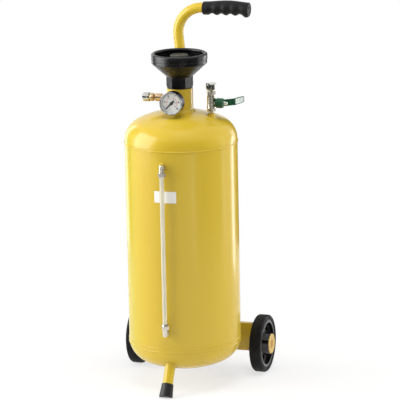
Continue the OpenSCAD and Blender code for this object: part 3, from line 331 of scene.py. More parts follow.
def plated(name, colour, roughness, grain, dull, worn):
    """Plated metal with dull patches, a fine grain and bright edges."""
    f = Finish(name, colour, roughness, edge=0.25 * MM, Metallic=1.0)
    f.tint(f.patches(70, 0.45, 0.72, detail=4, rough=0.6), dull, worn)
    f.tint(f.worn_edge(0.5 * MM), brighter(colour, 1.35), 0.6)
    f.sheen(120, roughness - 0.06, roughness + 0.14, rough=0.6, high=0.75)
    f.relief(f.noise(grain, 3, 0.6), 0.05 * MM, 0.4)
    return f.done()


def brass_finish():
    """Turned brass: rings left by the tool, a little tarnish."""
    colour = (0.70, 0.51, 0.31)
    f = Finish("turned_brass", colour, 0.24, edge=0.2 * MM, Metallic=1.0)
    f.tint(f.patches(90, 0.42, 0.7, detail=4, rough=0.6), (0.34, 0.24, 0.1), 0.5)
    f.tint(f.worn_edge(0.4 * MM), brighter(colour, 1.3), 0.5)
    f.sheen(150, 0.19, 0.36, detail=3)
    f.relief(f.noise(300, 2, 0.5, f.stretched(12, 1, 1)), 0.05 * MM, 0.5)
    return f.done()


def moulded(name, colour, roughness, grain, depth, scuff, pale, shine=0.5):
    """Moulded plastic or rubber with a fine spark-eroded grain and pale scuffs."""
    f = Finish(name, colour, roughness, edge=0.5 * MM, Specular_IOR_Level=shine)
    f.tint(f.patches(30, 0.5, 0.78, detail=5, rough=0.6), pale, scuff * 0.35)
    f.tint(f.product(f.worn_edge(0.7 * MM), f.patches(160, 0.35, 0.6)), pale, scuff)
    f.sheen(45, roughness - 0.06, roughness + 0.1, rough=0.6)
    f.relief(f.noise(grain, 2, 0.5), depth * MM, 0.5)
    return f.done()


def tyre_finish(colours):
    """Tyre rubber: a fine grain, a dusty tread and a painted highlight along its edges."""
    f = Finish("tyre_rubber", colours.tyre, 0.55, edge=0.4 * MM, Specular_IOR_Level=0.2)
    f.tint(f.patches(38, 0.45, 0.8, detail=5, rough=0.65), (0.02, 0.0195, 0.018), 0.45)
    f.tint(f.patches(420, 0.5, 0.7), (0.012, 0.012, 0.012), 0.4)
    # Painted highlight: paler along every edge, on the tread ribs and shoulders
    f.tint(f.worn_edge(0.8 * MM), (0.05, 0.048, 0.046), 0.35)
    f.sheen(60, 0.5, 0.72)
    f.relief(f.noise(1100, 3, 0.6), 0.1 * MM, 0.5)
    return f.done()


def clear_finish(name, colour, roughness, see, smear=0.06, **fixed):
    """Clear plastic or glass, faintly yellowed and smeared."""
    f = Finish(name, colour, roughness, Transmission_Weight=see, **fixed)
    f.tint(f.patches(35, 0.45, 0.75, detail=4), scaled(colour, 0.96, 0.95, 0.88), 0.5)
    f.sheen(80, roughness, roughness + smear, low=0.35)
    return f.done()


def case_finish():
    """Black gauge case, white on the wall inside, in front of the dial."""
    wall_r = 29.7 * MM
    f = Finish("case_enamel", (0.006, 0.006, 0.0065), 0.22, edge=0.4 * MM, Specular_IOR_Level=0.3)
    f.tint(f.product(f.worn_edge(0.6 * MM), f.patches(160, 0.4, 0.65)), (0.10, 0.10, 0.10), 0.3)
    off_axis = f.off_axis(f.part(0), f.math("SUBTRACT", f.part(2), SIDE_Z))
    inside = f.math("LESS_THAN", off_axis, wall_r)
    ahead = f.math("LESS_THAN", f.part(1), AXIS_Y - DIAL_Y)
    f.tint(f.product(inside, ahead), (0.80, 0.80, 0.78))
    f.sheen(45, 0.18, 0.30, rough=0.6)
    f.relief(f.noise(500, 2, 0.5), 0.03 * MM, 0.4)
    return f.done()


def cap_finish(colours):
    """Hub cap plastic: a painted highlight on its raised rim, painted shade in its recessed middle,
    fine grain and a few scuffs.
    """
    f = Finish("cap_plastic", colours.cap, 0.36, edge=0.5 * MM, Specular_IOR_Level=0.2)
    across = [f.math("SUBTRACT", f.part(k), box_middle("right_cap", k)) for k in (1, 2)]
    off_axis = f.off_axis(*across)
    # Painted highlight: a paler ring on the cap's raised rim
    f.tint(f.spread(off_axis, 13.5 * MM, 15.0 * MM), (0.66, 0.46, 0.15), 0.75)
    # Painted shade: a deeper orange in the cap's recessed middle
    f.tint(f.spread(off_axis, 11.5 * MM, 9.0 * MM), (0.40, 0.155, 0.008), 0.9)
    f.tint(f.product(f.worn_edge(0.7 * MM), f.patches(160, 0.35, 0.6)), (0.70, 0.56, 0.28), 0.35)
    f.sheen(45, 0.30, 0.46, rough=0.6)
    f.relief(f.noise(1200, 2, 0.5), 0.04 * MM, 0.5)
    return f.done()


def lever_finish(colours):
    """Dipped green coat, rubbed pale on the edges that a hand takes."""
    f = Finish("lever_coat", colours.lever, 0.26, edge=0.5 * MM, Specular_IOR_Level=0.4)
    f.tint(f.patches(60, 0.42, 0.7, detail=4), (0.012, 0.082, 0.038), 0.5)
    rubbed = f.product(f.worn_edge(0.7 * MM), f.patches(180, 0.45, 0.65, detail=4))
    f.tint(rubbed, (0.30, 0.38, 0.32), 0.5)
    f.sheen(90, 0.22, 0.34)
    f.relief(f.noise(420, 2), 0.05 * MM, 0.4)
    return f.done()


def grip_finish(colours):
    """Soft grip rubber with a pebbled skin."""
    f = Finish("grip_skin", colours.grip, 0.55, 0.4 * MM, Sheen_Weight=0.02, Specular_IOR_Level=0.2)
    f.tint(f.patches(45, 0.45, 0.75, detail=5), (0.014, 0.014, 0.014), 0.4)
    f.tint(f.spread(f.cells(1100), 0.25, 0.6), (0.013, 0.013, 0.0135), 0.5)
    f.sheen(40, 0.45, 0.6)
    f.relief(f.cells(1100), 0.12 * MM, 0.45)
    return f.done()


def label_finish(colours):
    """Bare white film, a little soiled, with soft creases."""
    f = Finish("label_film", colours.label, 0.36, edge=0.1 * MM)
    f.tint(f.patches(48, 0.45, 0.8, detail=5, rough=0.65), (0.66, 0.62, 0.5), 0.35)
    f.tint(f.patches(9, 0.5, 0.75), (0.75, 0.73, 0.66), 0.4)
    f.sheen(70, 0.3, 0.44, detail=3)
    f.relief(f.noise(36, 3, 0.5, f.stretched(1, 1, 2.4)), 0.25 * MM, 0.4)
    return f.done()


def print_finish(name, colour):
    """Screen-printed ink, a little uneven."""
    f = Finish(name, colour, 0.55)
    f.tint(f.patches(900, 0.5, 0.75), [c * 1.6 + 0.02 for c in colour], 0.3)
    f.sheen(300, 0.48, 0.62, detail=2)
    return f.done()


# Slot, material, colour, roughness, grain, dull colour, how worn
PLATED = (
    ("zinc_steel", "zinc_plate", (0.62, 0.62, 0.60), 0.34, 700, (0.36, 0.36, 0.35), 0.5),
    ("nickel_plate", "nickel_plate", (0.74, 0.69, 0.585), 0.27, 700, (0.52, 0.47, 0.38), 0.35),
    ("nut_zinc", "nut_zinc", (0.80, 0.86, 0.76), 0.42, 700, (0.60, 0.64, 0.56), 0.35),
    ("chrome_ball", "polished_ball", (0.75, 0.75, 0.75), 0.12, 1500, (0.6, 0.6, 0.6), 0.2),
    ("bright_nickel", "bright_nickel", (0.66, 0.655, 0.61), 0.13, 900, (0.42, 0.40, 0.33), 0.35),
    ("bezel_steel", "bezel_steel", (0.50, 0.50, 0.49), 0.24, 900, (0.36, 0.36, 0.34), 0.35),
)
# Slot, material, colour, roughness, grain, its depth in millimetres, scuffs, their colour, shine
MOULDED = (
    ("white_seat", "seat_polymer", (0.80, 0.80, 0.77), 0.45, 600, 0.02, 0.2, (0.6, 0.6, 0.57)),
    # Painted reflection: the pale finish of the piece on the lever's bent tip
    ("painted_reflection", "lever_panel", (0.54, 0.60, 0.55), 0.35, 600, 0.03, 0.25, (0.36, 0.46, 0.39)),
    ("black_rubber", "foot_rubber", (0.01, 0.01, 0.0105), 0.5, 800, 0.06, 0.3, (0.04, 0.04, 0.038),
     0.4),
    ("pointer_black", "pointer_black", (0.006, 0.006, 0.0065), 0.4, 900, 0.01, 0.15, (0.03,) * 3),
    ("white_enamel", "dial_enamel", (0.80, 0.80, 0.77), 0.4, 500, 0.01, 0.15, (0.68, 0.66, 0.6)),
    ("rim_plastic", "rim_plastic", (0.004, 0.004, 0.0045), 0.15, 900, 0.01, 0.25, (0.03,) * 3),
    ("bush_plastic", "bush_nylon", (0.30, 0.31, 0.29), 0.5, 800, 0.04, 0.2, (0.4, 0.4, 0.38)),
)
finishes = {}


def make_finishes():
    colours, sizes = bpy.context.scene.sprayer_colours, bpy.context.scene.sprayer_sizes
    finishes.update({slot: plated(*recipe) for slot, *recipe in PLATED})
    finishes.update({slot: moulded(*recipe) for slot, *recipe in MOULDED})
    finishes.update(
        yellow_paint=enamel(sizes, colours),
        yellow_plastic=cap_finish(colours),
        brass=brass_finish(),
        green_paint=lever_finish(colours),
        black_plastic=moulded(
            "funnel_plastic", colours.funnel, 0.27, 900, 0.004, 0.3, (0.03, 0.03, 0.032), 0.45
        ),
        dark_plastic=moulded(
            "plug_plastic", colours.plug, 0.48, 1000, 0.06, 0.35, (0.10, 0.10, 0.08), 0.3
        ),
        grip_rubber=grip_finish(colours),
        clear_tube=clear_finish("level_tube_plastic", (0.90, 0.86, 0.68), 0.12, 0.45, IOR=1.49),
        black_enamel=case_finish(),
        lens_glass=clear_finish(
            "lens_glass", (0.99, 0.995, 0.995), 0.0, 1.0, 0.006, IOR=1.4, Specular_IOR_Level=0.1
        ),
        tyre_rubber=tyre_finish(colours),
        label_film=label_finish(colours),
        black_ink=print_finish("black_ink", (0.012, 0.012, 0.013)),
        red_ink=print_finish("red_ink", (0.50, 0.11, 0.085)),
    )


def coat(names, finish):
    """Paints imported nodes."""
    for name in names.split():
        mesh = nodes[name].data
        mesh.materials.clear()
        mesh.materials.append(finishes[finish])


# ---- Mesh helpers ----

def linked(name, data):
    made = bpy.data.objects.new(name, data)
    bpy.context.scene.collection.objects.link(made)
    return made


def new_piece(name, mesh, body, finish, smooth):
    if smooth:
        for face in mesh.polygons:
            face.use_smooth = True
    mesh.materials.append(finishes[finish])
    piece = linked(name, mesh)
    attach(piece, body)
    return piece


class Batch:
    """Points and faces of several shells that become one piece."""

    def __init__(self):
        self.points, self.faces = [], []

    def rings(self, rings, closed=False, caps="both"):
        """Skins rings of equally many points, one after another; caps is both, last or none."""
        start, n, m = len(self.points), len(rings[0]), len(rings)
        for ring in rings:
            self.points.extend(ring)
        for k in range(m if closed else m - 1):
            a, b = start + k * n, start + (k + 1) % m * n
            for i in range(n):
                j = (i + 1) % n
                self.faces.append((a + i, a + j, b + j, b + i))
        if closed or caps == "none":
            return
        if caps == "both":
            self.faces.append(tuple(range(start + n - 1, start - 1, -1)))
        self.faces.append(tuple(start + (m - 1) * n + i for i in range(n)))

    def mesh(self, name):
        mesh = bpy.data.meshes.new(name)
        mesh.from_pydata(self.points, [], self.faces)
        mesh.validate()
        bm = bmesh.new()
        bm.from_mesh(mesh)
        bmesh.ops.recalc_face_normals(bm, faces=bm.faces)
        bm.to_mesh(mesh)
        bm.free()
        return mesh

    def piece(self, name, body, slot, finish, smooth=True):
        return new_piece(name, self.mesh(name), body, finish, smooth)


def circle(centre, u, v, radius, count=120):
    turns = [2 * pi * i / count for i in range(count)]
    return [centre + (u * cos(turn) + v * sin(turn)) * radius for turn in turns]


def resample(path, step):
    """Points about a step apart round a closed path."""
    route = path + [path[0]]
    lengths = [0.0]
    for a, b in zip(route, route[1:]):
        lengths.append(lengths[-1] + (b - a).length)
    count = max(3, round(lengths[-1] / step))
    made, k = [], 0
    for i in range(count):
        at = lengths[-1] * i / count
        while k < len(lengths) - 2 and lengths[k + 1] < at:
            k += 1
        span = lengths[k + 1] - lengths[k]
        made.append(route[k].lerp(route[k + 1], (at - lengths[k]) / span if span else 0))
    return made


trees = {}


def surface(node):
    """Search tree of a node's faces at rest."""
    if node not in trees:
        mesh = nodes[node].data
        trees[node] = BVHTree.FromPolygons(
            [v.co.copy() for v in mesh.vertices], [tuple(p.vertices) for p in mesh.polygons]
        )
    return trees[node]


def cast(starts, way, node):
    """Where lines from these points meet a node."""
    hits = [surface(node).ray_cast(start, way)[0] for start in starts]
    return [hit for hit in hits if hit is not None]


# ---- Welds ----

RIPPLE_POINTS, BEAD_SIDES = 4, 8
ROUGH_BEAD_R = 1.4 * MM  # wider beads are ground smoother
SEAM_POINTS = 360
SET_IN = 0.4 * MM  # how far a bead's middle lies inside its wall
FEWEST_HITS = 20  # a ring that meets less of its wall lays no bead
CAST_FROM = 60  # how far off a ring starts, in millimetres, before it is cast on a wall
LEVEL_SOCKETS = (LOWER_SEAM_Z + 46.5 * MM, UPPER_SEAM_Z - 39 * MM)
GAUGE_BEAD_R, AIR_BEAD_R, LEVEL_BEAD_R = 9.5 * MM + SET_IN, 10.5 * MM + SET_IN, 9.3 * MM
VALVE_BEAD_R, NECK_BEAD_R, LEG_BEAD_R = 12.2 * MM, 40.6 * MM, 19.1 * MM
LEG_LEAN, LEG_FOOT = radians(30), on_axis(0, -171.2 * MM, 1 * MM)


def weld_rings(path, radius, ripple, seed):
    """Rings of a rippled weld bead round a closed path."""
    route = resample(path, ripple / RIPPLE_POINTS)
    calm = min(1, (ROUGH_BEAD_R / radius) ** 3)
    rings, side = [], None
    for i, p in enumerate(route):
        along = (route[(i + 1) % len(route)] - route[i - 1]).normalized()
        side = side - along * side.dot(along) if rings else along.orthogonal()
        side.normalize()
        wave = 0.5 + 0.5 * cos(2 * pi * (i % RIPPLE_POINTS) / RIPPLE_POINTS)
        uneven = 0.14 * wave + 0.05 * sin(i * 0.37 + seed) + 0.04 * sin(i * 0.113 + seed * 3)
        size = radius * (0.86 + uneven * calm)
        rings.append(circle(p, side, along.cross(side), size, BEAD_SIDES))
    return rings


def weld_paths():
    """Routes of the weld beads, each with its share of the bead's radius."""
    upper = circle(on_axis(0, 0, UPPER_SEAM_Z), X, Y, TANK_R - 0.3 * MM, SEAM_POINTS)
    routes = [(upper, 2.0)]
    # Two beads at the lower seam, the second one on the head
    for drop, share in ((0, 1.5), (10.4 * MM, 1.7)):
        level = on_axis(0, 0, LOWER_SEAM_Z - drop)
        wall = surface("bottom_head").ray_cast(level + X * (TANK_R + 50 * MM), -X)[0]
        out = min(TANK_R, wall.x) if wall else TANK_R
        routes.append((circle(level, X, Y, out - SET_IN, SEAM_POINTS), share))

    def joint(centre, u, v, radius, way, node, share):
        routes.append((cast(circle(centre, u, v, radius), way, node), share))

    side, over = on_axis(0, 0, SIDE_Z), CROWN_Z + CAST_FROM * MM
    joint(side - Y * CAST_FROM * MM, X, Z, GAUGE_BEAD_R, Y, "filler_neck", 0.85)
    joint(side - X * CAST_FROM * MM, Y, Z, AIR_BEAD_R, X, "filler_neck", 0.85)
    for z in LEVEL_SOCKETS:
        joint(on_axis(0, -TANK_R - 30 * MM, z), X, Z, LEVEL_BEAD_R, Y, "tank_shell", 0.85)
    joint(on_axis(VALVE_X, 0, over), X, Y, VALVE_BEAD_R, -Z, "top_head", 0.9)
    joint(on_axis(0, 0, over), X, Y, NECK_BEAD_R, -Z, "top_head", 1.0)
    leg = Vector((0, sin(LEG_LEAN), cos(LEG_LEAN)))
    joint(LEG_FOOT + leg * 40 * MM, X, leg.cross(X), LEG_BEAD_R, leg, "bottom_head", 1.0)
    return [route for route in routes if len(route[0]) > FEWEST_HITS]


# ---- Threads ----

THREAD_STEPS = 6  # rings in one turn of a thread
HANDLE_LEAN, HANDLE_BEND_R = radians(5.2), 70 * MM
BEND_END_X = 12.5 * MM  # where the handle's level run begins
CLAMPS_DOWN = (38 * MM, 158 * MM)  # below the upper seam
BOLT_REACH = 25.006 * MM  # from the tube's middle to a bolt's
THREAD_CLEAR = 0.03 * MM  # the skin's reach over the solid under it
BOLT_THREAD = dict(radius=3.9 * MM, length=2.5 * MM, pitch=1.25 * MM, depth=0.18 * MM)
PIPE_THREAD = dict(pitch=1.3 * MM, depth=0.35 * MM)


def thread_rings(base, way, radius, length, pitch, depth, sides=28):
    """A screw thread round a cylinder from base along way, easing out at both ends."""
    u = way.orthogonal().normalized()
    v = way.cross(u)
    steps = max(4, round(length / pitch * THREAD_STEPS))
    rings = []
    for k in range(steps + 1):
        s = length * k / steps
        ease = min(1, 3 * min(k, steps - k) / THREAD_STEPS)
        ring = []
        for i in range(sides):
            turn = i / sides
            crest = 1 - abs(2 * ((s / pitch - turn) % 1.0) - 1)
            r = radius + THREAD_CLEAR + depth * min(1, 1.4 * crest) * ease
            ring.append(base + way * s + (u * cos(2 * pi * turn) + v * sin(2 * pi * turn)) * r)
        rings.append(ring)
    return rings


def clamp_bolt_places():
    """Where the handle's four clamp bolts cross the plane of its tube."""
    along = Vector((-sin(HANDLE_LEAN), 0, cos(HANDLE_LEAN)))
    across = Vector((cos(HANDLE_LEAN), 0, sin(HANDLE_LEAN)))
    bend_z = HANDLE_Z - HANDLE_BEND_R - HANDLE_BEND_R * sin(HANDLE_LEAN)
    start = on_axis(BEND_END_X - HANDLE_BEND_R * cos(HANDLE_LEAN), HANDLE_Y, bend_z)
    for down in CLAMPS_DOWN:
        drop = (bend_z - (UPPER_SEAM_Z - down)) / cos(HANDLE_LEAN)
        for x in (-BOLT_REACH, BOLT_REACH):
            yield start - along * drop + across * x


# ---- Grip, its sizes in millimetres, along the tube from its inner end ----

GRIP_X = 15.5 * MM  # place of the inner end, in metres
GRIP_L = 128.0
GRIP_TOP, GRIP_BOTTOM, GRIP_HALF = 16.8, 18.8, 19
FINGERS, FINGER_START, FINGER_PITCH = 4, 25.2, 25.7
FINGER_DEPTH, FINGER_PINCH = 4.7, 1.65
PALM_RISE, PALM_REACH, PALM_MIDDLE = 5.1, 75, 0.55 * GRIP_L
GUARD_DROP, GUARD_MIDDLE = 4.2, GRIP_L - 9.5
END_ROUND = 2
RIB_DEPTH, RIB_START, RIB_END, RING_STEP = 0.22, 14, 110, 0.9
SEAM_RISE = 0.25
# Rings that close the free end, domed round a shallow moulded ring: size, distance out
END_RINGS = (
    (0.8, 0.25), (0.62, 0.35), (0.58, -0.35), (0.48, -0.35), (0.44, 0.3), (0.2, 0.45), (0.03, 0.5),
)


def swell(x, middle, before, after):
    """A smooth hump, 1 in the middle and 0 from before it to after it."""
    u = (x - middle) / (before if x < middle else after)
    return 0.0 if abs(u) > 1 else (1 + cos(pi * u)) / 2


def grip_profile(x):
    """How far the grip reaches up, down and sideways at a distance along it."""
    reach = FINGER_PITCH / 2
    wave = max(swell(x, FINGER_START + FINGER_PITCH * k, reach, reach) for k in range(FINGERS))
    guard = swell(x, GUARD_MIDDLE, 8.5, 14)
    short = END_ROUND - max(0.0, min(x, GRIP_L - x, END_ROUND))
    end = END_ROUND - sqrt(max(0.0, END_ROUND * END_ROUND - short * short))
    up = GRIP_TOP + PALM_RISE * swell(x, PALM_MIDDLE, PALM_REACH, PALM_REACH) - end
    down = GRIP_BOTTOM - FINGER_DEPTH * wave + GUARD_DROP * guard - end
    half = GRIP_HALF - FINGER_PINCH * wave + 0.5 * guard - end
    return up, down, half


def grip_rings(sides=72):
    ends = [0, 0.15, 0.4, 0.75, 1.2, 1.7, 2.3, 3.2]
    middle = [4 + i * RING_STEP for i in range(int((GRIP_L - 8) / RING_STEP) + 1)]
    origin = on_axis(GRIP_X, HANDLE_Y, HANDLE_Z)

    def ring(x, up, down, half):
        full = up > 15
        ribbed = full and RIB_START < x < RIB_END and round(x / RING_STEP) % 4 < 2
        made = []
        for i in range(sides):
            c, s = cos(2 * pi * i / sides), sin(2 * pi * i / sides)
            # Fine ribs cross the palm's side, and a mould seam runs along the flanks
            rib = RIB_DEPTH if ribbed and s > 0.25 else 0.0
            seam = SEAM_RISE if full and abs(s) < 0.05 else 0.0
            height = ((up if s > 0 else down) - rib) * s
            made.append(origin + Vector((x, (half + seam) * c, height)) * MM)
        return made

    bore = TUBE_R / MM
    rings = [ring(0, bore, bore, bore)]
    for x in ends + middle + [GRIP_L - s for s in reversed(ends)]:
        rings.append(ring(x, *grip_profile(x)))
    reaches = grip_profile(GRIP_L)
    for share, out in END_RINGS:
        rings.append(ring(GRIP_L + out - 0.5, *[reach * share for reach in reaches]))
    return rings


# ---- Dial, its angles running clockwise from zero as seen from the front ----

DIAL_ZERO, DIAL_SWEEP = 225, 270
OUTER_RING, INNER_RING = 26.5 * MM, 14.6 * MM
BAR_SINK, BAR_RISE = 0.02 * MM, 0.12 * MM
NUMBER_RISE, NUMBER_THICK, NUMBER_BOLD = 0.03 * MM, 0.05 * MM, 0.06


def dial_point(angle, radius, lift):
    a = radians(DIAL_ZERO - angle)
    return on_axis(radius * cos(a), -DIAL_Y - DIAL_FACE - lift, SIDE_Z + radius * sin(a))


def dial_bar(batch, angle, r0, r1, width):
    a = radians(DIAL_ZERO - angle)
    out, side = Vector((cos(a), 0, sin(a))), Vector((-sin(a), 0, cos(a)))
    rings = []
    for lift in (0.0, BAR_RISE):
        base = on_axis(0, -DIAL_Y - (DIAL_FACE - BAR_SINK) - lift, SIDE_Z)
        corners = ((r0, -1), (r1, -1), (r1, 1), (r0, 1))
        rings.append([base + out * r + side * s * width / 2 for r, s in corners])
    batch.rings(rings)


def dial_arc(batch, radius, width):
    """A printed arc that runs one degree past each end of the scale."""
    inner, outer = radius - width / 2, radius + width / 2
    corners = ((inner, -BAR_SINK), (outer, -BAR_SINK), (outer, 0.1 * MM), (inner, 0.1 * MM))
    batch.rings([
        [dial_point(angle, r, lift) for r, lift in corners]
        for angle in range(-1, DIAL_SWEEP + 2, 2)
    ])


def numeral_mesh(text, angle, radius, height):
    """A number of the dial as a mesh in place."""
    curve = bpy.data.curves.new("numeral", "FONT")
    curve.body = text
    curve.size = height
    curve.align_x = curve.align_y = "CENTER"
    curve.extrude, curve.offset = NUMBER_THICK, NUMBER_BOLD * height
    holder = linked("numeral", curve)
    bpy.context.view_layer.update()
    shown = holder.evaluated_get(bpy.context.evaluated_depsgraph_get())
    mesh = bpy.data.meshes.new_from_object(shown)
    bpy.data.objects.remove(holder)
    bpy.data.curves.remove(curve)
    place = Matrix.Translation(dial_point(angle, radius, NUMBER_RISE))
    mesh.transform(place @ Matrix.Rotation(radians(90), 4, "X"))
    return mesh


def joined(name, meshes):
    bm = bmesh.new()
    for mesh in meshes:
        bm.from_mesh(mesh)
    made = bpy.data.meshes.new(name)
    bm.to_mesh(made)
    bm.free()
    for mesh in meshes:
        bpy.data.meshes.remove(mesh)
    return made


# ---- Studio ----

TURN, TILT, ROLL = radians(18.39151), radians(13.326225), radians(-1.161838)
AIM_RIGHT, AIM_HEIGHT, DISTANCE = 0.0471375, 0.4979377, 7.724976
FOCAL_PIXELS, FRAME_PIXELS, SENSOR = 2900.0798, 400, 36
AHEAD = Vector((-sin(TURN) * cos(TILT), cos(TURN) * cos(TILT), -sin(TILT)))
TOWARDS = Vector((sin(TURN), -cos(TURN), 0))
RIGHTWARDS = Vector((cos(TURN), sin(TURN), 0))
WHITE = (1, 1, 1)
WORLD_LEVEL = 0.11
FLOOR_SIZE, FLOOR_Z = 24, -0.0002

# Name, degrees round from the camera, degrees up, distance, width, height, watts, seen in gloss
LAMPS = (
    ("left_softbox", -85, 19, 2.6, 2.2, 2.5, 90, True),
    ("right_softbox", 78, 14, 2.6, 1.2, 2.0, 34, False),
    ("top_softbox", 10, 74, 2.6, 1.6, 1.6, 46, False),
    ("front_softbox", 8, 15, 3.5, 0.45, 0.45, 10, False),
    ("thin_strip", 21, -11, 1.4, 0.04, 0.4, 0.16, True),
    ("right_strip", 92, 7, 1.4, 0.16, 1.3, 0.8, True),
    ("edge_strip", 122, -6, 1.3, 0.20, 0.7, 2.6, True),
    ("rim_strip", 132, 8, 1.3, 0.30, 0.5, 1.0, True),
    ("left_strip", -145, 7, 1.4, 0.16, 1.3, 1.6, True),
)
# Name, degrees round from the camera, distance, width, brightness, lower and upper edge
CARDS = (
    ("front_card", -22, 1.75, 1.9, 0.02, 0.24, 1.7),
    ("middle_card", 27, 1.70, 1.35, 0.02, 0.43, 1.7),
    ("right_card", 57, 1.75, 1.8, 0.12, 0.005, 1.7),
    ("low_card", 136, 1.6, 0.45, 0.05, 0.005, 0.42),
    ("edge_card", 154, 1.5, 0.6, 0.04, 0.005, 1.7),
    ("left_card", -126, 1.6, 0.4, 0.08, 0.005, 1.7),
)


def studio_way(turn, rise=0):
    """From the tank, degrees round from the camera's side and up."""
    level = TOWARDS * cos(radians(turn)) + RIGHTWARDS * sin(radians(turn))
    return level * cos(radians(rise)) + Z * sin(radians(rise))


def camera_place():
    right = AHEAD.cross(Z).normalized()
    up = right.cross(AHEAD)
    x = right * cos(ROLL) + up * sin(ROLL)
    y = -right * sin(ROLL) + up * cos(ROLL)
    aim = right * AIM_RIGHT + Vector((0, 0, AIM_HEIGHT))
    spot = aim - AHEAD * DISTANCE + Vector((0, AXIS_Y, 0))
    return Matrix.Translation(spot) @ Matrix((x, y, -AHEAD)).transposed().to_4x4()


def soft_light(name, turn, rise, distance, width, height, watts, shines):
    """A softbox turned to the tank's middle."""
    data = bpy.data.lights.new(name, "AREA")
    data.shape = "RECTANGLE"
    data.size, data.size_y = width, height
    data.energy = watts
    light = linked(name, data)
    way = studio_way(turn, rise)
    light.location = Vector((0, AXIS_Y, 0.5)) + way * distance
    light.rotation_euler = (-way).to_track_quat("-Z", "Y").to_euler()
    light.visible_camera = False
    light.visible_glossy = shines


def reflected_card(name, turn, distance, width, tone, low, high):
    """An upright card that only reflections show."""
    way = studio_way(turn)
    side = Z.cross(way)
    foot = Vector((0, AXIS_Y, low)) + way * distance
    corners = [foot - side * width / 2, foot + side * width / 2]
    corners += [corner + Z * (high - low) for corner in reversed(corners)]
    mesh = bpy.data.meshes.new(name)
    mesh.from_pydata(corners, [], [(0, 1, 2, 3)])
    material = bpy.data.materials.new(name)
    graph = Graph(material)
    graph.show(graph.fed("ShaderNodeEmission", WHITE, tone))
    mesh.materials.append(material)
    card = linked(name, mesh)
    card.visible_camera = card.visible_diffuse = card.visible_shadow = False
    card.visible_transmission = card.visible_volume_scatter = False


def studio_world():
    """A dim world that looks white where it is seen."""
    world = bpy.data.worlds.new("studio")
    bpy.context.scene.world = world
    graph = Graph(world)
    dim, bright = [
        graph.fed("ShaderNodeBackground", WHITE, level) for level in (WORLD_LEVEL, 1.0)
    ]
    mix = graph.fed("ShaderNodeMixShader", graph.seen_rays(), dim, bright)
    graph.show(mix, "ShaderNodeOutputWorld")


def floor_material():
    """Pale floor that keeps the cart's shadow and runs into the white background."""
    material = bpy.data.materials.new("floor_paper")
    graph = Graph(material)
    far = graph.node("ShaderNodeVectorMath", operation="LENGTH")
    graph.put(far.inputs[0], graph.node("ShaderNodeTexCoord").outputs["Object"])
    fade = graph.product(graph.spread(far.outputs["Value"], 0.2, 0.75, 0.66), graph.seen_rays())
    paper = graph.fed("ShaderNodeBsdfDiffuse", (0.93, 0.93, 0.93))
    white = graph.fed("ShaderNodeEmission", WHITE)
    graph.show(graph.fed("ShaderNodeMixShader", fade, paper, white))
    return material


# ---- Operators ----

class SPRAYER_OT_stage(bpy.types.Operator):
    """Set up the camera, the floor, the background and the lamps"""

    bl_idname = "sprayer.stage"
    bl_label = "Studio"

    def execute(self, context):
        scene = context.scene
        scene.view_settings.view_transform = "Standard"
        data = bpy.data.cameras.new("view")
        data.sensor_width = SENSOR
        data.lens = FOCAL_PIXELS * SENSOR / FRAME_PIXELS
        data.clip_end = 60
        camera = linked("view", data)
        camera.matrix_world = camera_place()
        scene.camera = camera
        studio_world()
        for lamp in LAMPS:
            soft_light(*lamp)
        for card in CARDS:
            reflected_card(*card)
        bpy.ops.mesh.primitive_grid_add(
            x_subdivisions=8, y_subdivisions=8, size=FLOOR_SIZE, location=(0, 0, FLOOR_Z)
        )
        floor = context.object
        floor.name = "floor"
        floor.data.materials.append(floor_material())
        return {"FINISHED"}


class SPRAYER_OT_finishes(bpy.types.Operator):
    """Mix every finish of the cart"""

    bl_idname = "sprayer.finishes"
    bl_label = "Mix finishes"

    def execute(self, context):
        make_finishes()
        return {"FINISHED"}


class SPRAYER_OT_tank(bpy.types.Operator):
    """Paint the tank, its sockets, the handle, the leg and the axle bracket"""

    bl_idname = "sprayer.tank"
    bl_label = "Tank and frame"

    def execute(self, context):
        coat("tank_shell top_head bottom_head filler_neck", "yellow_paint")
        coat("gauge_socket air_socket valve_socket level_sockets", "yellow_paint")
        coat("leg_tube axle_bracket handle_cradles handle_tube", "yellow_paint")
        coat("foot_cap", "black_rubber")
        coat("dip_tube handle_clamps clamp_bolts clamp_nuts", "zinc_steel")
        return {"FINISHED"}


class SPRAYER_OT_wheels(bpy.types.Operator):
    """Finish the tyres, rims, bushes, hub caps and axle parts"""

    bl_idname = "sprayer.wheels"
    bl_label = "Wheels"

    def execute(self, context):
        coat("left_tyre right_tyre", "tyre_rubber")
        coat("left_rim right_rim", "rim_plastic")
        coat("left_bush right_bush", "bush_plastic")
        coat("left_cap right_cap", "yellow_plastic")
        coat("axle_stubs axle_washers axle_rings", "zinc_steel")
        return {"FINISHED"}


class SPRAYER_OT_filling(bpy.types.Operator):
    """Finish the funnel, its gasket and the filler plug"""

    bl_idname = "sprayer.filling"
    bl_label = "Funnel and plug"

    def execute(self, context):
        coat("funnel", "black_plastic")
        coat("filler_plug", "dark_plastic")
        coat("funnel_gasket plug_oring", "black_rubber")
        return {"FINISHED"}


class SPRAYER_OT_fittings(bpy.types.Operator):
    """Finish the outlet valve, the air inlet and the level indicator"""

    bl_idname = "sprayer.fittings"
    bl_label = "Valve, air inlet and level tube"

    def execute(self, context):
        coat("valve_body valve_end level_elbows level_nuts", "nickel_plate")
        coat("outlet_elbow coupling_sleeve", "bright_nickel")
        coat("valve_gland air_nipple check_body check_poppet coupling_body gauge_stem", "brass")
        coat("valve_stem", "zinc_steel")
        coat("lever_nut", "nut_zinc")
        coat("valve_ball", "chrome_ball")
        coat("valve_seats", "white_seat")
        coat("valve_lever", "green_paint")
        coat("level_tube", "clear_tube")
        return {"FINISHED"}


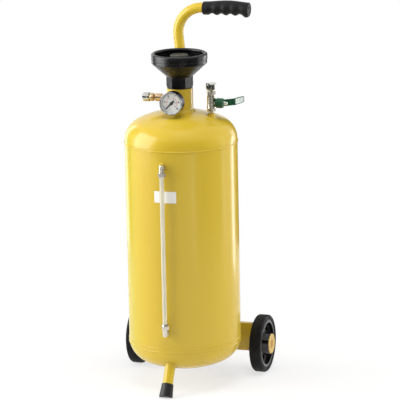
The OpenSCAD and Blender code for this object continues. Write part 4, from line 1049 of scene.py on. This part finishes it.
class SPRAYER_OT_lever_panel(bpy.types.Operator):
    """Lay a pale piece on the outer face of the lever's bent tip, a painted reflection of the light
    that face catches
    """

    bl_idname = "sprayer.lever_panel"
    bl_label = "Lever panel"

    # Middle line of the bent tip from above, in millimetres from the stem
    LINE = Vector((56, 26)), Vector((61, 43.1)), Vector((70, 61))
    START, SHORT_OF_END, CORNER = 1.2, 2.2, 1.8
    TOP, BOTTOM, TAPER = 7.3, -7.2, 2.6
    BACK, SIDE, FACE, CHAMFER = 2.15, 2.32, 2.42, 0.35
    SLICES = 48

    def execute(self, context):
        first, second = [b - a for a, b in zip(self.LINE, self.LINE[1:])]
        ways = [first.normalized(), second.normalized()]
        bend = first.length
        end = bend + second.length - self.SHORT_OF_END

        def face_point(s, z, proud):
            """At a distance along the line, a height, and a reach out of the line."""
            k = 0 if s < bend else 1
            way = ways[0].lerp(ways[1], min(1, max(0, (s - bend + 1.5) / 3))).normalized()
            at = self.LINE[k] + ways[k] * (s - k * bend) + Vector((way.y, -way.x)) * proud
            return on_axis(VALVE_X, 0, STEM_Z) + Vector((at.x, at.y, z)) * MM

        rings = []
        for k in range(self.SLICES + 1):
            s = self.START + (end - self.START) * k / self.SLICES
            near = min(s - self.START, end - s, self.CORNER)
            cut = self.CORNER - sqrt(max(0, self.CORNER ** 2 - (self.CORNER - near) ** 2))
            top = self.TOP - cut
            bottom = self.BOTTOM + self.TAPER * max(0, (s - bend) / second.length) + cut
            low = [(bottom, self.BACK), (bottom, self.SIDE), (bottom + self.CHAMFER, self.FACE)]
            face = [(bottom + (top - bottom) * t / 8, self.FACE) for t in range(1, 8)]
            high = [(top - self.CHAMFER, self.FACE), (top, self.SIDE), (top, self.BACK)]
            rings.append([face_point(s, z, proud) for z, proud in low + face + high])
        batch = Batch()
        batch.rings(rings)
        # Painted reflection: a pale piece where the lever's tip catches the light
        batch.piece("lever_panel", "lever", "green_paint", "painted_reflection")
        return {"FINISHED"}


class SPRAYER_OT_gauge(bpy.types.Operator):
    """Finish the pressure gauge and print its dial"""

    bl_idname = "sprayer.gauge"
    bl_label = "Pressure gauge"

    # In millimetres: half the outline, the layers before the axis and the boss's radii
    NEEDLE = [(-9.4, 2.5), (-4.2, 2.5), (3.0, 2.2), (24.0, 0.9)]
    LAYERS, BOSS = (71.7, 72.3, 72.9, 73.2), (4.5, 4.5, 4.5, 4.1)

    def execute(self, context):
        for part, finish in (
            ("case", "black_enamel"), ("bezel", "bezel_steel"), ("movement", "brass"),
            ("dial", "white_enamel"), ("pointer", "pointer_black"), ("lens", "lens_glass"),
        ):
            coat(f"gauge_{part}", finish)
        self.lay_pointer_face()
        self.print_scales()
        return {"FINISHED"}

    def lay_pointer_face(self):
        way = Vector((-sqrt(0.5), 0, -sqrt(0.5)))
        side = Vector((way.z, 0, -way.x))
        outline = self.NEEDLE + [(x, -y) for x, y in reversed(self.NEEDLE)]
        at = [on_axis(0, -depth * MM, SIDE_Z) for depth in self.LAYERS]
        needle = Batch()
        needle.rings([[p + (way * x + side * y) * MM for x, y in outline] for p in at[:2]])
        needle.rings([circle(p, X, Z, r * MM, 32) for p, r in zip(at, self.BOSS)])
        needle.piece("pointer_face", "pointer", "black_enamel", "pointer_black", smooth=False)

    def print_scales(self):
        black, red = Batch(), Batch()
        for step in range(51):
            inner = 22.6 * MM if step % 5 == 0 else 24.2 * MM
            width = 1.2 * MM if step % 10 == 0 else 0.55 * MM
            dial_bar(black, step * DIAL_SWEEP / 50, inner, 26.4 * MM, width)
        dial_arc(black, OUTER_RING, 0.4 * MM)
        dial_arc(red, INNER_RING, 0.7 * MM)
        for step in range(31):
            outer = 16.6 * MM if step % 5 == 0 else 15.8 * MM
            dial_bar(red, step * DIAL_SWEEP / 30, INNER_RING, outer, 0.5 * MM)
        # Name, marks, ink, last number, step, the numbers' radius and height
        for name, marks, ink, last, step, radius, height in (
            ("dial_scale", black, "black_ink", 10, 2, 19.4 * MM, 6.6 * MM),
            ("dial_inner_scale", red, "red_ink", 150, 30, 11.6 * MM, 3.0 * MM),
        ):
            meshes = [marks.mesh(name + "_marks")]
            for n in range(0, last + 1, step):
                meshes.append(numeral_mesh(str(n), n * DIAL_SWEEP / last, radius, height))
            new_piece(name, joined(name, meshes), "tank", ink, smooth=False)


class SPRAYER_OT_welds(bpy.types.Operator):
    """Lay the rippled weld beads round the tank's seams, neck, sockets and leg"""

    bl_idname = "sprayer.welds"
    bl_label = "Weld beads"

    def execute(self, context):
        sizes = context.scene.sprayer_sizes
        batch = Batch()
        for i, (path, share) in enumerate(weld_paths()):
            rings = weld_rings(path, sizes.weld * share, sizes.ripple, seed=i * 1.7)
            batch.rings(rings, closed=True)
        batch.piece("weld_beads", "tank", "yellow_paint", "yellow_paint")
        return {"FINISHED"}


class SPRAYER_OT_threads(bpy.types.Operator):
    """Cut the screw threads that show on the clamp bolts and the fittings"""

    bl_idname = "sprayer.threads"
    bl_label = "Screw threads"

    def execute(self, context):
        bolts, fittings = Batch(), Batch()
        for at in clamp_bolt_places():
            bolts.rings(thread_rings(at + Y * -11.4 * MM, -Y, **BOLT_THREAD), caps="none")
        valve = on_axis(VALVE_X, 0, STEM_Z)
        for height, radius, length, sides in ((-27.4, 6.5, 5.3, 40), (31.6, 5.2, 3.8, 36)):
            rings = thread_rings(
                valve + Z * height * MM, Z, radius * MM, length * MM, sides=sides, **PIPE_THREAD
            )
            fittings.rings(rings, caps="none")
        bolts.piece("bolt_threads", "tank", "zinc_steel", "zinc_steel")
        fittings.piece("fitting_threads", "tank", "nickel_plate", "nickel_plate")
        return {"FINISHED"}


class SPRAYER_OT_label(bpy.types.Operator):
    """Stick the bare white label on the tank's front"""

    bl_idname = "sprayer.label"
    bl_label = "Label"

    MIDDLE, MIDDLE_Z = 3 * MM, 540.5 * MM
    CORNER_R, FILM, GLUE = 0.8 * MM, 0.22 * MM, 0.02 * MM

    def outline(self, sizes):
        """The label's edge, laid flat, from its middle."""
        along, up = sizes.label_w / 2 - self.CORNER_R, sizes.label_h / 2 - self.CORNER_R
        corners = []
        for quarter, (x, z) in enumerate(((1, 1), (-1, 1), (-1, -1), (1, -1))):
            for a in [radians(90 * quarter + 15 * k) for k in range(7)]:
                centre = Vector((x * along, z * up, 0))
                corners.append(centre + Vector((cos(a), sin(a), 0)) * self.CORNER_R)
        return [(p.x, p.y) for p in resample(corners, 1.5 * MM)]

    def execute(self, context):
        edge = self.outline(context.scene.sprayer_sizes)
        rings = []
        for share in [1 - 0.06 * k for k in range(16)] + [0.04]:
            r = TANK_R + self.GLUE + (0.0 if share == 1 else self.FILM)
            ring = []
            for s, t in edge:
                a = (self.MIDDLE + s * share) / TANK_R
                ring.append(on_axis(r * sin(a), -r * cos(a), self.MIDDLE_Z + t * share))
            rings.append(ring)
        batch = Batch()
        batch.rings(rings, caps="last")
        batch.piece("bare_label", "tank", "white_enamel", "label_film")
        return {"FINISHED"}


class SPRAYER_OT_grip(bpy.types.Operator):
    """Mould the grip's finger grooves, palm ribs and seams"""

    bl_idname = "sprayer.grip"
    bl_label = "Grip"

    def execute(self, context):
        batch = Batch()
        batch.rings(grip_rings(), caps="last")
        grip = batch.piece("moulded_grip", "tank", "grip_rubber", "grip_rubber")
        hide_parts("hand_grip")
        return {"FINISHED"}


class SPRAYER_PT_panel(bpy.types.Panel):
    """Every step of the cart's finish, in order"""

    bl_label = "Sprayer cart"
    bl_space_type = "VIEW_3D"
    bl_region_type = "UI"
    bl_category = "Sprayer"

    def draw(self, context):
        for group in (context.scene.sprayer_colours, context.scene.sprayer_sizes):
            box = self.layout.box()
            for key in group.__annotations__:
                box.prop(group, key)
        for step in STEPS:
            self.layout.operator(step.bl_idname)


STEPS = (
    SPRAYER_OT_stage, SPRAYER_OT_finishes, SPRAYER_OT_tank, SPRAYER_OT_wheels,
    SPRAYER_OT_filling, SPRAYER_OT_fittings, SPRAYER_OT_lever_panel, SPRAYER_OT_gauge,
    SPRAYER_OT_welds, SPRAYER_OT_threads, SPRAYER_OT_label, SPRAYER_OT_grip,
)
CLASSES = (SprayerColours, SprayerSizes, *STEPS, SPRAYER_PT_panel)


def register():
    for item in CLASSES:
        bpy.utils.register_class(item)
    bpy.types.Scene.sprayer_colours = PointerProperty(type=SprayerColours)
    bpy.types.Scene.sprayer_sizes = PointerProperty(type=SprayerSizes)


def unregister():
    del bpy.types.Scene.sprayer_sizes
    del bpy.types.Scene.sprayer_colours
    for item in reversed(CLASSES):
        bpy.utils.unregister_class(item)


def main():
    register()
    bpy.ops.sprayer.stage()
    bpy.ops.sprayer.finishes()
    bpy.ops.sprayer.tank()
    bpy.ops.sprayer.wheels()
    bpy.ops.sprayer.filling()
    bpy.ops.sprayer.fittings()
    bpy.ops.sprayer.lever_panel()
    bpy.ops.sprayer.gauge()
    bpy.ops.sprayer.welds()
    bpy.ops.sprayer.threads()
    bpy.ops.sprayer.label()
    bpy.ops.sprayer.grip()


if __name__ == "__main__":
    main()
